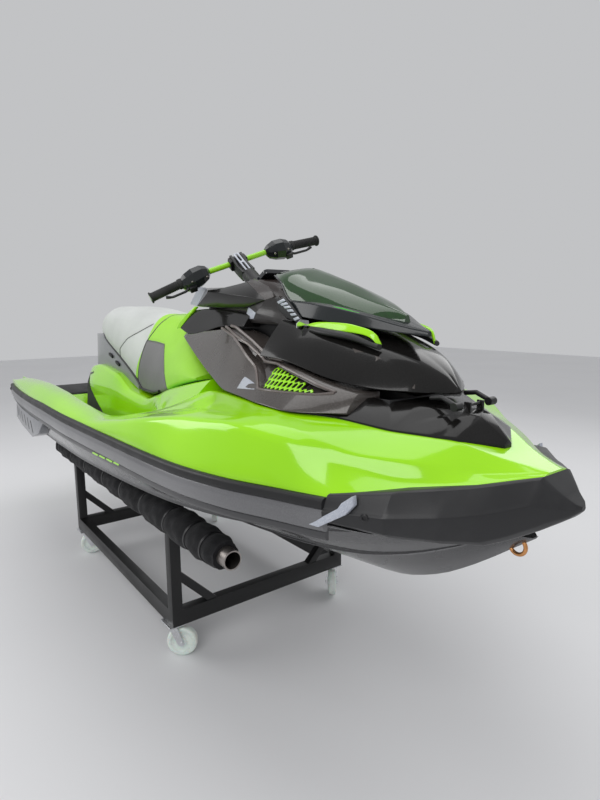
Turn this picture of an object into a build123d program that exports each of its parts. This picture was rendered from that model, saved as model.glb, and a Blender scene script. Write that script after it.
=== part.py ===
from build123d import *
from math import atan2, cos, degrees, radians, sin, tan
import os

os.makedirs("parts", exist_ok=True)

# Two-seat personal watercraft standing on its wheeled cradle.
# Millimetres. +X is the bow, +Y is port, +Z is up; Z = 0 is the floor under the caster wheels.

# Overall sizes
LENGTH = 3311.0
BOW_X = LENGTH / 2
STERN_X = -LENGTH / 2
FIT = 0.3          # seating gap between pieces that rest on each other
GAP = 6.0          # clearance round a moving piece
SKIN = 16.0        # how far the rub rail stands proud of the hull side
OVERHANG = 95.5    # boarding platform behind the transom

# Joint between hull and deck: level forward, falling towards the stern
BOND_Z = 850.0
STERN_BOND_Z = 812.0
BOND_FALL_X = -500.0
TRANSOM_X = STERN_X + OVERHANG

# Underwater body. Columns: x, keel z, strake y, strake z, chine y, chine z, rail half breadth
HULL = [
    (TRANSOM_X, 480, 250, 566, 492, 668, 539),
    (-1400, 477, 256, 564, 505, 668, 558),
    (-1100, 472, 264, 563, 520, 670, 583),
    (-800, 467, 268, 561, 530, 673, 600),
    (-500, 462, 270, 560, 535, 676, 610),
    (-200, 459, 270, 560, 535, 680, 612),
    (100, 458, 264, 562, 524, 685, 602),
    (350, 459, 255, 566, 508, 690, 590),
    (600, 463, 242, 574, 484, 697, 578),
    (800, 470, 222, 584, 448, 706, 562),
    (1000, 486, 192, 600, 392, 719, 520),
    (1150, 508, 160, 620, 330, 734, 463),
    (1280, 558, 124, 656, 262, 752, 413),
    (1400, 634, 84, 706, 178, 774, 345),
    (1500, 712, 46, 756, 104, 792, 230),
    (1556, 756, 22, 778, 56, 800, 148),
]
HULL_TOP_Z = 880.0
SIDE_FOOT_Z = 795.0

# Deck moulding. Columns: x, rail half breadth, crest y, crest z, band y, band z, shelf y, shelf z
DECK = [
    (STERN_X, 528, 508, 846, 480, 850, 440, 848),
    (-1400, 558, 520, 880, 480, 885, 450, 880),
    (-1100, 583, 530, 897, 490, 902, 460, 897),
    (-800, 600, 540, 908, 500, 912, 470, 908),
    (-500, 610, 548, 905, 510, 910, 480, 905),
    (-200, 612, 560, 892, 525, 897, 490, 892),
    (100, 602, 565, 882, 530, 888, 480, 886),
    (350, 590, 560, 912, 470, 924, 380, 930),
    (600, 578, 540, 958, 425, 970, 315, 1020),
    (800, 562, 503, 984, 430, 1001, 338, 1026),
    (1000, 520, 475, 995, 425, 1010, 358, 1022),
    (1150, 463, 420, 972, 385, 993, 270, 1008),
    (1280, 413, 325, 924, 310, 950, 205, 988),
    (1400, 345, 245, 897, 210, 935, 120, 975),
    (1500, 230, 155, 903, 112, 918, 66, 945),
    (1590, 98, 50, 920, 36, 924, 20, 926),
]
DECK_FOOT_Z = 780.0

# Bow bumper, as the side profile between its lower and its upper edge
BUMPER_AFT_X = 1280.0
BUMPER_PLAN = [
    (BUMPER_AFT_X, 413), (1400, 345), (1475, 262), (1530, 188), (1590, 98), (1630, 42), (BOW_X, 12),
]
BUMPER_TOP = [(BUMPER_AFT_X, 872), (1400, 892), (1500, 902), (1590, 921), (1632, 878), (BOW_X, 860)]
BUMPER_LOW = [(BOW_X, 860), (1639, 827), (1553, 758), (1400, 786), (BUMPER_AFT_X, 800)]

# Footwells and boarding platform. Columns: x, floor y, floor z, wall top y
WELL = [
    (STERN_X - 40, 440, 790, 450),
    (-1400, 440, 790, 470),
    (-1180, 440, 790, 475),
    (-1100, 425, 715, 480),
    (-500, 430, 715, 505),
    (-200, 430, 715, 522),
    (100, 420, 715, 540),
    (220, 395, 780, 520),
    (340, 330, 905, 420),
]
WELL_TOP_Z = 1000.0
PLATFORM_STEP_X = -1180.0
MAT_THICK = 6.0

# Seat pedestal. Columns: x, base y, ridge y, ridge z, top y, top z
PEDESTAL = [
    (-1160, 185, 172, 862, 150, 925),
    (-1060, 235, 222, 876, 190, 966),
    (-900, 258, 246, 886, 200, 985),
    (-600, 264, 252, 888, 222, 968),
    (-350, 268, 258, 876, 236, 908),
    (-150, 276, 266, 862, 248, 898),
    (0, 290, 276, 872, 262, 927),
    (200, 350, 335, 892, 285, 979),
    (350, 385, 372, 922, 285, 1012),
    (540, 395, 380, 956, 280, 1050),
]
PEDESTAL_FOOT_Z = 700.0

# Seat. Columns: x, low y, low z, mid y, mid z, top y, top z
SEAT = [
    (-1180, 44, 1166, 50, 1186, 34, 1206),
    (-1110, 88, 1156, 98, 1190, 70, 1240),
    (-1020, 124, 1146, 138, 1190, 100, 1268),
    (-930, 146, 1136, 160, 1186, 118, 1284),
    (-850, 162, 1112, 176, 1176, 130, 1292),
    (-600, 184, 1040, 190, 1130, 125, 1284),
    (-350, 198, 948, 188, 1080, 106, 1260),
    (-270, 204, 912, 190, 1076, 102, 1252),
    (-150, 216, 915, 194, 1070, 96, 1242),
    (0, 232, 938, 208, 1064, 96, 1220),
    (200, 254, 990, 236, 1064, 150, 1138),
    (395, 268, 1030, 258, 1040, 170, 1050),
]
SEAT_RIM_Y = 176.0
SEAT_SLIDE = 25.0          # the seat's slide off its rim, in degrees above level aft
SEAT_HEEL_X, SEAT_HEEL_Z = -270.0, 912.0

# Engine bay under the seat, and the engine as one plain block
BAY_AFT_X, BAY_FWD_X, BAY_Y, BAY_FLOOR_Z = -700.0, 100.0, 160.0, 520.0
ENGINE_LENGTH, ENGINE_WIDTH, ENGINE_HEIGHT = 560.0, 290.0, 330.0
ENGINE_X = -330.0

# Storage bin under the hood
BIN_AFT_X, BIN_FWD_X, BIN_Y = 840.0, 1230.0, 150.0
BIN_FLOOR_Z, BIN_RIM_Z, BIN_WALL = 700.0, 1052.0, 5.0

# Nose panel. Columns: x, edge y, edge z, top y, top z
NOSE = [
    (1050, 335, 1020, 230, 1064),
    (1150, 262, 1009, 186, 1056),
    (1280, 200, 989, 108, 1042),
    (1370, 140, 979, 40, 1030),
    (1410, 108, 974, 22, 1022),
    (1472, 14, 958, 5, 972),
]

# Side panels. Columns: x, top y, top z, low y, low z
SIDE_PANEL = [
    (150, 165, 1192, 190, 1172),
    (350, 185, 1204, 238, 1110),
    (545, 204, 1214, 282, 1056),
    (700, 216, 1178, 322, 1032),
    (800, 226, 1132, 340, 1032),
    (870, 230, 1130, 350, 1030),
    (945, 236, 1117, 360, 1028),
    (1045, 236, 1094, 356, 1023),
    (1175, 206, 1066, 246, 1018),
]
PANEL_INNER_Y, PANEL_REACH = 128.0, 400.0

# Recess in each side panel in side view, and the honeycomb of pockets in its forward half
RECESS = [
    (590, 1188), (889, 1062), (1090, 1064), (1125, 1066), (1045, 1084), (945, 1106), (870, 1120),
    (800, 1121), (700, 1166),
]
RECESS_DEPTH, CELL_DEPTH = 26.0, 38.0
CELL_RADIUS, CELL_PITCH = 8.0, 17.0
CELL_ROWS = [(900, 1074, 9), (891.5, 1088.6, 6), (883, 1103.2, 3)]    # first x, z, count

# Console. Columns: x, low y, low z, wing y, wing z, top y, top z
CONSOLE = [
    (300, 122, 1278, 176, 1314, 104, 1358),
    (420, 150, 1262, 204, 1312, 118, 1376),
    (560, 166, 1250, 186, 1306, 110, 1384),
    (700, 170, 1248, 160, 1300, 96, 1340),
    (770, 160, 1246, 140, 1290, 84, 1312),
]
CONSOLE_CORE_Y, CONSOLE_FOOT_Z = 120.0, 1010.0

# Console wings beside the column. Columns: x, inner y, low z, outer y, outer z, top y, top z
WING = [
    (212, 138, 1292, 182, 1300, 144, 1332),
    (300, 122, 1280, 196, 1308, 122, 1352),
    (430, 110, 1268, 203, 1312, 110, 1374),
]
GLOVE_AFT_X, GLOVE_FWD_X = 40.0, 300.0
GLOVE_TOP_Z, GLOVE_BIN_Z = 1246.0, 1140.0
GLOVE_BIN_X, GLOVE_BIN_Y = (62.0, 238.0), 84.0
GLOVE_LID_THICK = 14.0
GLOVE_HINGE_X, GLOVE_HINGE_HALF = 262.0, 58.0
GLOVE_KNUCKLE, GLOVE_PIN, GLOVE_LUG = 5.0, 2.5, 8.0

# Hood. Columns: x, side y, side z, ridge y, ridge z, crown z
HOOD = [
    (800, 256, 1142, 172, 1248, 1262),
    (880, 250, 1138, 165, 1234, 1250),
    (945, 240, 1126, 160, 1222, 1240),
    (1080, 214, 1094, 130, 1192, 1208),
    (1200, 165, 1073, 88, 1158, 1166),
    (1300, 104, 1060, 44, 1112, 1116),
    (1362, 40, 1052, 16, 1074, 1076),
]
HOOD_WALL = 12.0
HOOD_HINGE_X, HOOD_HINGE_Z = 1374.0, 1046.0

# Visor on the hood. Columns: x, half width, low z, top z
VISOR = [
    (812, 158, 1262, 1304),
    (900, 154, 1254, 1284),
    (1050, 112, 1234, 1256),
    (1228, 8, 1206, 1218),
]

# Windscreen. Columns: x, foot y, foot z, shoulder y, shoulder z, crown z
SCREEN = [
    (640, 84, 1388, 66, 1400, 1408),
    (720, 120, 1366, 98, 1394, 1414),
    (800, 138, 1302, 108, 1362, 1396),
    (860, 136, 1286, 104, 1344, 1378),
    (940, 125, 1270, 86, 1324, 1352),
    (1080, 82, 1244, 48, 1284, 1292),
    (1150, 14, 1228, 8, 1254, 1262),
]
SCREEN_WALL = 5.0

# Steering: raked column, shown turned to its starboard stop
BAR_X, BAR_Z = 262.0, 1466.0
COLUMN_RAKE = 57.0
STEER_REST = 23.0
COLUMN_RADIUS, COLUMN_BELOW_BAR, COLUMN_LENGTH = 29.7, 100.0, 300.0
BAR_HALF, BAR_RADIUS = 368.0, 11.0
GRIP_LENGTH, GRIP_RADIUS = 128.0, 17.0

# Jet drive
PUMP_Z = 580.0
PUMP_OUTER, PUMP_BORE = 88.0, 78.0
IMPELLER_RADIUS = 72.0
SHAFT_RADIUS = 12.5
TUNNEL_Y = 132.0
TUNNEL_TOP_Z = 672.0
NOZZLE_PIVOT_X = -1490.0
NOZZLE_RATIO = 0.8
NOZZLE_REST = STEER_REST * NOZZLE_RATIO
BUCKET_PIVOT_X = -1415.0

# Cradle
FRAME_AFT_X, FRAME_FWD_X, FRAME_Y = -765.0, 430.0, 409.0
FRAME_FOOT_Z = 131.0
BEAM_WIDE, BEAM_TALL = 40.0, 60.0
POST_WIDE = 40.0
BUNK_Y, BUNK_Z = 400.0, 556.0
BUNK_AFT_X, BUNK_FWD_X = -980.0, 860.0
BUNK_PIPE_RADIUS, BUNK_PAD_RADIUS = 30.0, 60.0

# Casters. Columns: name, side of the frame in X, side in Y, swivel angle
CASTERS = [
    ("front_starboard", 1, -1, 232.6),
    ("front_port", 1, 1, 142.6),
    ("rear_starboard", -1, -1, 250.0),
    ("rear_port", -1, 1, 150.0),
]
CASTER_INSET = 45.0
WHEEL_RADIUS, WHEEL_WIDTH = 56.0, 32.0
CASTER_TRAIL = 32.0
CASTER_PLATE = 6.0


def both_sides(half):
    """Closed outline from its port half, given from the bottom up."""
    mirrored = [(-y, z) for y, z in reversed(half) if y > 0]
    return list(half) + mirrored


def stations(rows, outline):
    """One cross section per table row, in order along X."""
    sections = []
    for row in rows:
        with BuildSketch(Plane.YZ.offset(row[0])) as section:
            with BuildLine():
                Polyline(*outline(*row[1:]), close=True)
            make_face()
        sections.append(section.sketch)
    return sections


def side_profile(points, half_width, mode):
    """Extrude a side view outline across the boat."""
    with BuildSketch(Plane.XZ) as profile:
        with BuildLine():
            Polyline(*points, close=True)
        make_face()
    extrude(profile.sketch, amount=half_width, both=True, mode=mode)


def block(x0, x1, y0, y1, z0, z1, mode=Mode.ADD):
    """Box between six planes."""
    with Locations(((x0 + x1) / 2, (y0 + y1) / 2, (z0 + z1) / 2)):
        Box(x1 - x0, y1 - y0, z1 - z0, mode=mode)


OPENING_TOP_Z = 1300.0


def cut_engine_bay():
    """Open space under the seat, clear through everything above the bay floor."""
    block(BAY_AFT_X, BAY_FWD_X, -BAY_Y, BAY_Y, BAY_FLOOR_Z, OPENING_TOP_Z, Mode.SUBTRACT)


def cut_bin_space():
    """Open space that the storage bin drops into."""
    side_y = BIN_Y + FIT
    block(BIN_AFT_X - FIT, BIN_FWD_X + FIT, -side_y, side_y, BIN_FLOOR_Z, OPENING_TOP_Z, Mode.SUBTRACT)


def save(name, piece):
    piece.part.label = name
    export_step(piece.part, f"parts/{name}.step")


ABOVE_BOND = [
    (STERN_X - 60, STERN_BOND_Z), (BOND_FALL_X, BOND_Z), (BOW_X + 60, BOND_Z),
    (BOW_X + 60, 1400), (STERN_X - 60, 1400),
]
BELOW_BOND = [
    (STERN_X - 60, STERN_BOND_Z), (BOND_FALL_X, BOND_Z), (BOW_X + 60, BOND_Z),
    (BOW_X + 60, 300), (STERN_X - 60, 300),
]


def hull_outline(keel_z, strake_y, strake_z, chine_y, chine_z, rail_y):
    side_y = rail_y - SKIN
    return both_sides([
        (0, keel_z), (strake_y, strake_z), (chine_y, chine_z),
        (side_y, SIDE_FOOT_Z), (side_y, HULL_TOP_Z), (0, HULL_TOP_Z),
    ])


# Lower part of the deck moulding that sinks into the hull to carry the footwells, in side view
LINER_Y = 455.0
LINER = [
    (STERN_X + 6, 776), (PLATFORM_STEP_X - 10, 776), (PLATFORM_STEP_X - 10, PEDESTAL_FOOT_Z),
    (545, PEDESTAL_FOOT_Z), (545, 870), (STERN_X + 6, 870),
]

# Tunnel for the jet drive, in side view
TUNNEL = [
    (TRANSOM_X - 20, 380), (TRANSOM_X - 20, 766), (-1300, 766), (-1270, TUNNEL_TOP_Z),
    (-1080, TUNNEL_TOP_Z), (-860, 610), (-560, 430), (-560, 380),
]

with BuildPart() as hull:
    loft(stations(HULL, hull_outline), ruled=True)
    side_profile(ABOVE_BOND, 700, Mode.SUBTRACT)
    side_profile(LINER, LINER_Y, Mode.SUBTRACT)
    side_profile(TUNNEL, TUNNEL_Y, Mode.SUBTRACT)
    side_profile(BUMPER_LOW + [(BUMPER_AFT_X, 1000), (BOW_X + 40, 1000)], 600, Mode.SUBTRACT)
    cut_engine_bay()
    cut_bin_space()
    with Locations(Location((-900, 0, PUMP_Z), (0, 90, 0))):
        Cylinder(SHAFT_RADIUS + GAP, 700, mode=Mode.SUBTRACT)
save("hull", hull)


def deck_outline(rail_y, crest_y, crest_z, band_y, band_z, shelf_y, shelf_z):
    side_y = rail_y - SKIN
    return both_sides([
        (0, DECK_FOOT_Z), (side_y, DECK_FOOT_Z), (side_y, 862), (crest_y, crest_z),
        (band_y, band_z), (shelf_y, shelf_z), (0, shelf_z),
    ])


def well_outline(floor_y, floor_z, top_y):
    return both_sides([(0, floor_z), (floor_y, floor_z), (top_y, WELL_TOP_Z), (0, WELL_TOP_Z)])


def pedestal_outline(base_y, ridge_y, ridge_z, top_y, top_z):
    return both_sides([
        (0, PEDESTAL_FOOT_Z), (base_y, PEDESTAL_FOOT_Z), (ridge_y, ridge_z), (top_y, top_z), (0, top_z),
    ])


def under_slide(x, z):
    """Height kept clear of the seat's heel while the seat slides aft over it."""
    slide_z = SEAT_HEEL_Z + tan(radians(SEAT_SLIDE)) * (SEAT_HEEL_X - x)
    return z if x > SEAT_HEEL_X else min(z, slide_z - GAP)


def rim_outline(rim_z):
    return both_sides([(0, 800), (SEAT_RIM_Y, 800), (SEAT_RIM_Y, rim_z), (0, rim_z)])


with BuildPart() as wells:
    loft(stations(WELL, well_outline), ruled=True)

with BuildPart() as pedestal:
    loft(stations(PEDESTAL, pedestal_outline), ruled=True)

with BuildPart() as seat_rim:
    rim_rows = [(row[0], under_slide(row[0], row[2] - FIT)) for row in SEAT if -700 < row[0] < 210]
    loft(stations(rim_rows, rim_outline), ruled=True)

with BuildPart() as deck:
    loft(stations(DECK, deck_outline), ruled=True)
    side_profile(BELOW_BOND, 700, Mode.SUBTRACT)
    side_profile(LINER, LINER_Y, Mode.ADD)
    add(wells.part, mode=Mode.SUBTRACT)
    add(pedestal.part)
    add(seat_rim.part)
    side_profile(
        BUMPER_TOP + [(BOW_X + 40, 700), (BUMPER_AFT_X, 700)], 600, Mode.SUBTRACT
    )
    cut_engine_bay()
    cut_bin_space()
save("deck", deck)


# Rub rail along both sides, from the stern to the bumper
RAIL_TOP_Z, RAIL_LOW_Z = 862.0, 800.0
RAIL_STERN_DROP = 34.0


def rail_points(x, rail_y, side):
    """Cross section of one rail: flat against the hull side, rounded off outside."""
    drop = RAIL_STERN_DROP * max(0.0, (BOND_FALL_X - x) / (BOND_FALL_X - STERN_X))
    top, low = RAIL_TOP_Z - drop, RAIL_LOW_Z - drop
    back = rail_y - SKIN + FIT
    return [(side * back, low), (side * (rail_y - 4), low + 10), (side * rail_y, low + 24),
            (side * rail_y, top - 16), (side * (rail_y - 6), top), (side * back, top)]


with BuildPart() as rub_rails:
    rail_rows = [(row[0], row[1]) for row in DECK if row[0] <= BUMPER_AFT_X]
    for side in (-1, 1):
        loft(stations([(x, x, y) for x, y in rail_rows], lambda x, y: rail_points(x, y, side)), ruled=True)
save("rub_rails", rub_rails)


def bumper_outline(half_y):
    foot_y, head_y = max(half_y - 20, half_y / 2), max(half_y - 30, half_y / 3)
    return both_sides([(0, 740), (foot_y, 740), (half_y, 815), (half_y, 868), (head_y, 960), (0, 960)])


with BuildPart() as bow_bumper:
    loft(stations(BUMPER_PLAN, bumper_outline), ruled=True)
    side_profile(list(reversed(BUMPER_TOP))[:-1] + BUMPER_TOP[:1] + BUMPER_LOW[::-1][:-1], 600, Mode.INTERSECT)
save("bow_bumper", bow_bumper)


def nose_outline(edge_y, edge_z, top_y, top_z):
    return both_sides([(0, edge_z - 8), (edge_y, edge_z - 8), (edge_y, edge_z + 4), (top_y, top_z), (0, top_z)])


HINGE_PIN, KNUCKLE = 4.0, 9.0
HINGE_HALF = 22.0

with BuildPart() as nose_panel:
    loft(stations(NOSE, nose_outline), ruled=True)
    for side in (-1, 1):
        lug = sorted((side * (HINGE_HALF + 1), side * (HINGE_HALF + 7)))
        block(HOOD_HINGE_X - 9, HOOD_HINGE_X + 9, *lug, 1015, HOOD_HINGE_Z + 7)
    with Locations(Location((HOOD_HINGE_X, 0, HOOD_HINGE_Z), (90, 0, 0))):
        Cylinder(HINGE_PIN, 2 * HINGE_HALF + 14)
    add(deck.part, mode=Mode.SUBTRACT)
    cut_bin_space()
save("nose_panel", nose_panel)

with BuildPart() as storage_bin:
    block(BIN_AFT_X, BIN_FWD_X, -BIN_Y, BIN_Y, BIN_FLOOR_Z, BIN_RIM_Z)
    block(BIN_AFT_X + BIN_WALL, BIN_FWD_X - BIN_WALL, BIN_WALL - BIN_Y, BIN_Y - BIN_WALL,
          BIN_FLOOR_Z + BIN_WALL, BIN_RIM_Z, Mode.SUBTRACT)
save("storage_bin", storage_bin)


def seat_outline(low_y, low_z, mid_y, mid_z, top_y, top_z):
    return both_sides([(0, low_z), (low_y, low_z), (mid_y, mid_z), (top_y, top_z), (0, top_z + 6)])


with BuildPart() as seat:
    loft(stations(SEAT, seat_outline), ruled=True)
    block(GLOVE_AFT_X - GAP, 500, -CONSOLE_CORE_Y - GAP, CONSOLE_CORE_Y + GAP, 900, 1400, Mode.SUBTRACT)
save("seat", seat)

# Side walls under the rear half of the seat. Columns: x, half breadth, top z
TRIM = [
    (-1190, 118, 1146),
    (-1110, 136, 1148),
    (-1020, 154, 1139),
    (-930, 164, 1129),
    (-850, 172, 1105),
    (-600, 188, 1034),
    (-350, 196, 942),
]


def trim_outline(half_y, top_z):
    return both_sides([(0, 860), (half_y + 8, 860), (half_y - 6, top_z), (0, top_z)])


with BuildPart() as rear_trim:
    loft(stations([(x, y, under_slide(x, z)) for x, y, z in TRIM], trim_outline), ruled=True)
    add(deck.part, mode=Mode.SUBTRACT)
    cut_engine_bay()
save("rear_trim", rear_trim)

HANDLE_PATH = [(-1190, -96, 1100), (-1262, -80, 1112), (-1262, 80, 1112), (-1190, 96, 1100)]
HANDLE_RADIUS, HANDLE_BEND = 11.0, 30.0

with BuildPart() as grab_handle:
    with BuildLine() as handle_path:
        FilletPolyline(*HANDLE_PATH, radius=HANDLE_BEND)
    with BuildSketch(Plane(origin=handle_path.line @ 0, z_dir=handle_path.line % 0)):
        Circle(HANDLE_RADIUS)
    sweep()
    add(rear_trim.part, mode=Mode.SUBTRACT)
save("grab_handle", grab_handle)

with BuildPart() as engine_block:
    block(ENGINE_X - ENGINE_LENGTH / 2, ENGINE_X + ENGINE_LENGTH / 2, -ENGINE_WIDTH / 2, ENGINE_WIDTH / 2,
          BAY_FLOOR_Z, BAY_FLOOR_Z + ENGINE_HEIGHT)
save("engine_block", engine_block)


def panel_points(top_y, top_z, low_y, low_z, side):
    return [(side * PANEL_INNER_Y, low_z), (side * low_y, low_z), (side * top_y, top_z),
            (side * PANEL_INNER_Y, top_z)]


def panels_inset(depth):
    """Both side panels with their faces moved inboard."""
    with BuildPart() as panels:
        for side in (-1, 1):
            rows = [(x, max(top_y - depth, PANEL_INNER_Y + 2), top_z, low_y - depth, low_z)
                    for x, top_y, top_z, low_y, low_z in SIDE_PANEL]
            loft(stations(rows, lambda *row: panel_points(*row, side)), ruled=True)
    return panels.part


with BuildPart() as panel_recess:
    side_profile(RECESS, PANEL_REACH, Mode.ADD)
    add(panels_inset(RECESS_DEPTH), mode=Mode.SUBTRACT)

with BuildPart() as honeycomb:
    with BuildSketch(Plane.XZ) as cells:
        for x, z, count in CELL_ROWS:
            with Locations(*[(x + CELL_PITCH * cell, z) for cell in range(count)]):
                RegularPolygon(CELL_RADIUS, 6, rotation=30)
    extrude(cells.sketch, amount=PANEL_REACH, both=True)
    add(panels_inset(CELL_DEPTH), mode=Mode.SUBTRACT)

with BuildPart() as side_panels:
    add(panels_inset(0))
    add(panel_recess.part, mode=Mode.SUBTRACT)
    add(honeycomb.part, mode=Mode.SUBTRACT)
    add(deck.part, mode=Mode.SUBTRACT)
    add(nose_panel.part, mode=Mode.SUBTRACT)
    cut_bin_space()
save("side_panels", side_panels)


def console_outline(low_y, low_z, wing_y, wing_z, top_y, top_z):
    return both_sides([(0, CONSOLE_FOOT_Z), (CONSOLE_CORE_Y, CONSOLE_FOOT_Z), (CONSOLE_CORE_Y, low_z - 20),
                       (low_y, low_z), (wing_y, wing_z), (top_y, top_z), (0, top_z + 6)])


COLUMN_TILT = Location((BAR_X, 0, BAR_Z), (0, -COLUMN_RAKE, 0))
GLOVE_HINGE = Location((GLOVE_HINGE_X, 0, GLOVE_TOP_Z), (90, 0, 0))


def wing_points(inner_y, low_z, outer_y, outer_z, top_y, top_z, side):
    return [(side * inner_y, low_z), (side * outer_y, outer_z), (side * top_y, top_z),
            (side * (inner_y - 4), top_z - 8)]


with BuildPart() as console:
    loft(stations(CONSOLE, console_outline), ruled=True)
    for side in (-1, 1):
        loft(stations(WING, lambda *row: wing_points(*row, side)), ruled=True)
    block(GLOVE_AFT_X, GLOVE_FWD_X + 1, -CONSOLE_CORE_Y, CONSOLE_CORE_Y, 980, GLOVE_TOP_Z - GLOVE_LID_THICK)
    block(*GLOVE_BIN_X, -GLOVE_BIN_Y, GLOVE_BIN_Y, GLOVE_BIN_Z, GLOVE_TOP_Z, Mode.SUBTRACT)
    for side in (-1, 1):
        lug = sorted((side * (GLOVE_HINGE_HALF + 2), side * (GLOVE_HINGE_HALF + 2 + GLOVE_LUG)))
        block(GLOVE_HINGE_X - GLOVE_KNUCKLE, GLOVE_HINGE_X + GLOVE_KNUCKLE, *lug,
              GLOVE_TOP_Z - GLOVE_LID_THICK - 5, GLOVE_TOP_Z + GLOVE_KNUCKLE)
    with Locations(GLOVE_HINGE):
        Cylinder(GLOVE_PIN, 2 * (GLOVE_HINGE_HALF + GLOVE_LUG))
    add(deck.part, mode=Mode.SUBTRACT)
    with Locations(COLUMN_TILT):
        Cylinder(COLUMN_RADIUS + FIT, 420, align=(Align.CENTER, Align.CENTER, Align.MAX), mode=Mode.SUBTRACT)
save("console", console)

with BuildPart() as glovebox_lid:
    block(GLOVE_AFT_X, GLOVE_HINGE_X - 10, -CONSOLE_CORE_Y + 6, CONSOLE_CORE_Y - 6,
          GLOVE_TOP_Z - GLOVE_LID_THICK + FIT, GLOVE_TOP_Z)
    fillet(glovebox_lid.edges().filter_by(Axis.Z), 18)
    block(GLOVE_HINGE_X - 20, GLOVE_HINGE_X, -GLOVE_HINGE_HALF, GLOVE_HINGE_HALF,
          GLOVE_TOP_Z - GLOVE_KNUCKLE, GLOVE_TOP_Z)
    with Locations(GLOVE_HINGE):
        Cylinder(GLOVE_KNUCKLE, 2 * GLOVE_HINGE_HALF)
        Cylinder(GLOVE_PIN + FIT, 2 * GLOVE_HINGE_HALF, mode=Mode.SUBTRACT)
save("glovebox_lid", glovebox_lid)

GAUGE_X, GAUGE_Z, GAUGE_TILT = 520.0, 1388.0, 30.0
GAUGE_TALL, GAUGE_WIDE, GAUGE_DEEP = 70.0, 120.0, 16.0

with BuildPart() as gauge:
    gauge_normal = (-sin(radians(GAUGE_TILT)), 0, cos(radians(GAUGE_TILT)))
    with BuildSketch(Plane(origin=(GAUGE_X, 0, GAUGE_Z), z_dir=gauge_normal)):
        RectangleRounded(GAUGE_TALL, GAUGE_WIDE, 14)
    extrude(amount=GAUGE_DEEP)
    add(console.part, mode=Mode.SUBTRACT)
save("gauge", gauge)

# Lower steering column, fixed in the console
with BuildPart() as steering_mount:
    with Locations(COLUMN_TILT):
        with Locations((0, 0, -COLUMN_BELOW_BAR)):
            Cylinder(COLUMN_RADIUS, COLUMN_LENGTH, align=(Align.CENTER, Align.CENTER, Align.MAX))
save("steering_mount", steering_mount)


def hood_outline(side_y, side_z, ridge_y, ridge_z, crown_z):
    return both_sides([(0, side_z), (side_y, side_z), (ridge_y, ridge_z), (0, crown_z)])


def hood_inside(side_y, side_z, ridge_y, ridge_z, crown_z):
    inner = [(0, side_z - 1), (max(side_y - HOOD_WALL, 6), side_z - 1),
             (max(ridge_y - HOOD_WALL, 4), ridge_z - HOOD_WALL), (0, crown_z - HOOD_WALL)]
    return both_sides(inner)


with BuildPart() as hood_cavity:
    loft(stations([row for row in HOOD if row[0] < 1290], hood_inside), ruled=True)

with BuildPart() as hood:
    loft(stations(HOOD, hood_outline), ruled=True)
    add(hood_cavity.part, mode=Mode.SUBTRACT)
    block(HOOD[-1][0] - 10, HOOD_HINGE_X, -HINGE_HALF, HINGE_HALF, HOOD_HINGE_Z + 2, HOOD_HINGE_Z + KNUCKLE)
    with Locations(Location((HOOD_HINGE_X, 0, HOOD_HINGE_Z), (90, 0, 0))):
        Cylinder(KNUCKLE, 2 * HINGE_HALF)
        Cylinder(HINGE_PIN + FIT, 2 * HINGE_HALF, mode=Mode.SUBTRACT)
save("hood", hood)


def visor_outline(half_y, low_z, top_z):
    return both_sides([(0, low_z), (half_y, low_z), (half_y * 0.9, top_z), (0, top_z + 4)])


with BuildPart() as visor:
    loft(stations(VISOR, visor_outline), ruled=True)
    add(hood.part, mode=Mode.SUBTRACT)
save("visor", visor)


def screen_outline(foot_y, foot_z, shoulder_y, shoulder_z, crown_z):
    return both_sides([(0, foot_z), (foot_y, foot_z), (shoulder_y, shoulder_z), (0, crown_z)])


def screen_inside(foot_y, foot_z, shoulder_y, shoulder_z, crown_z):
    wall = SCREEN_WALL
    return both_sides([(0, foot_z - 1), (foot_y - wall, foot_z - 1), (shoulder_y - wall, shoulder_z - wall),
                       (0, crown_z - wall)])


with BuildPart() as screen_cavity:
    loft(stations([row for row in SCREEN if row[0] < 1100], screen_inside), ruled=True)

with BuildPart() as windscreen:
    loft(stations(SCREEN, screen_outline), ruled=True)
    add(screen_cavity.part, mode=Mode.SUBTRACT)
    add(visor.part, mode=Mode.SUBTRACT)
    add(hood.part, mode=Mode.SUBTRACT)
save("windscreen", windscreen)

# Mirror housings on the hood shoulders. Columns: x, centre y, centre z, half width, half height
MIRROR = [
    (905, 172, 1234, 26, 20),
    (960, 172, 1234, 34, 26),
    (1080, 156, 1220, 30, 26),
    (1190, 124, 1194, 16, 16),
]


def pod_points(centre_y, centre_z, half_wide, half_high, side):
    """Six-sided pod section."""
    corners = [(-1, -0.6), (0, -1), (1, -0.5), (1, 0.3), (0.3, 1), (-1, 0.8)]
    return [(side * (centre_y + half_wide * u), centre_z + half_high * v) for u, v in corners]


with BuildPart() as mirror_housings:
    for side in (-1, 1):
        loft(stations(MIRROR, lambda *row: pod_points(*row, side)), ruled=True)
    add(hood.part, mode=Mode.SUBTRACT)
    add(hood_cavity.part, mode=Mode.SUBTRACT)
    add(visor.part, mode=Mode.SUBTRACT)
save("mirror_housings", mirror_housings)

with BuildPart() as mirror_glass:
    glass_row = MIRROR[0]
    for side in (-1, 1):
        with BuildSketch(Plane.YZ.offset(glass_row[0] - 3)) as glass:
            with BuildLine():
                Polyline(*pod_points(*glass_row[1:3], glass_row[3] - 4, glass_row[4] - 4, side), close=True)
            make_face()
        extrude(glass.sketch, amount=3 - FIT)
    add(hood.part, mode=Mode.SUBTRACT)
    add(hood_cavity.part, mode=Mode.SUBTRACT)
save("mirror_glass", mirror_glass)

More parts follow.
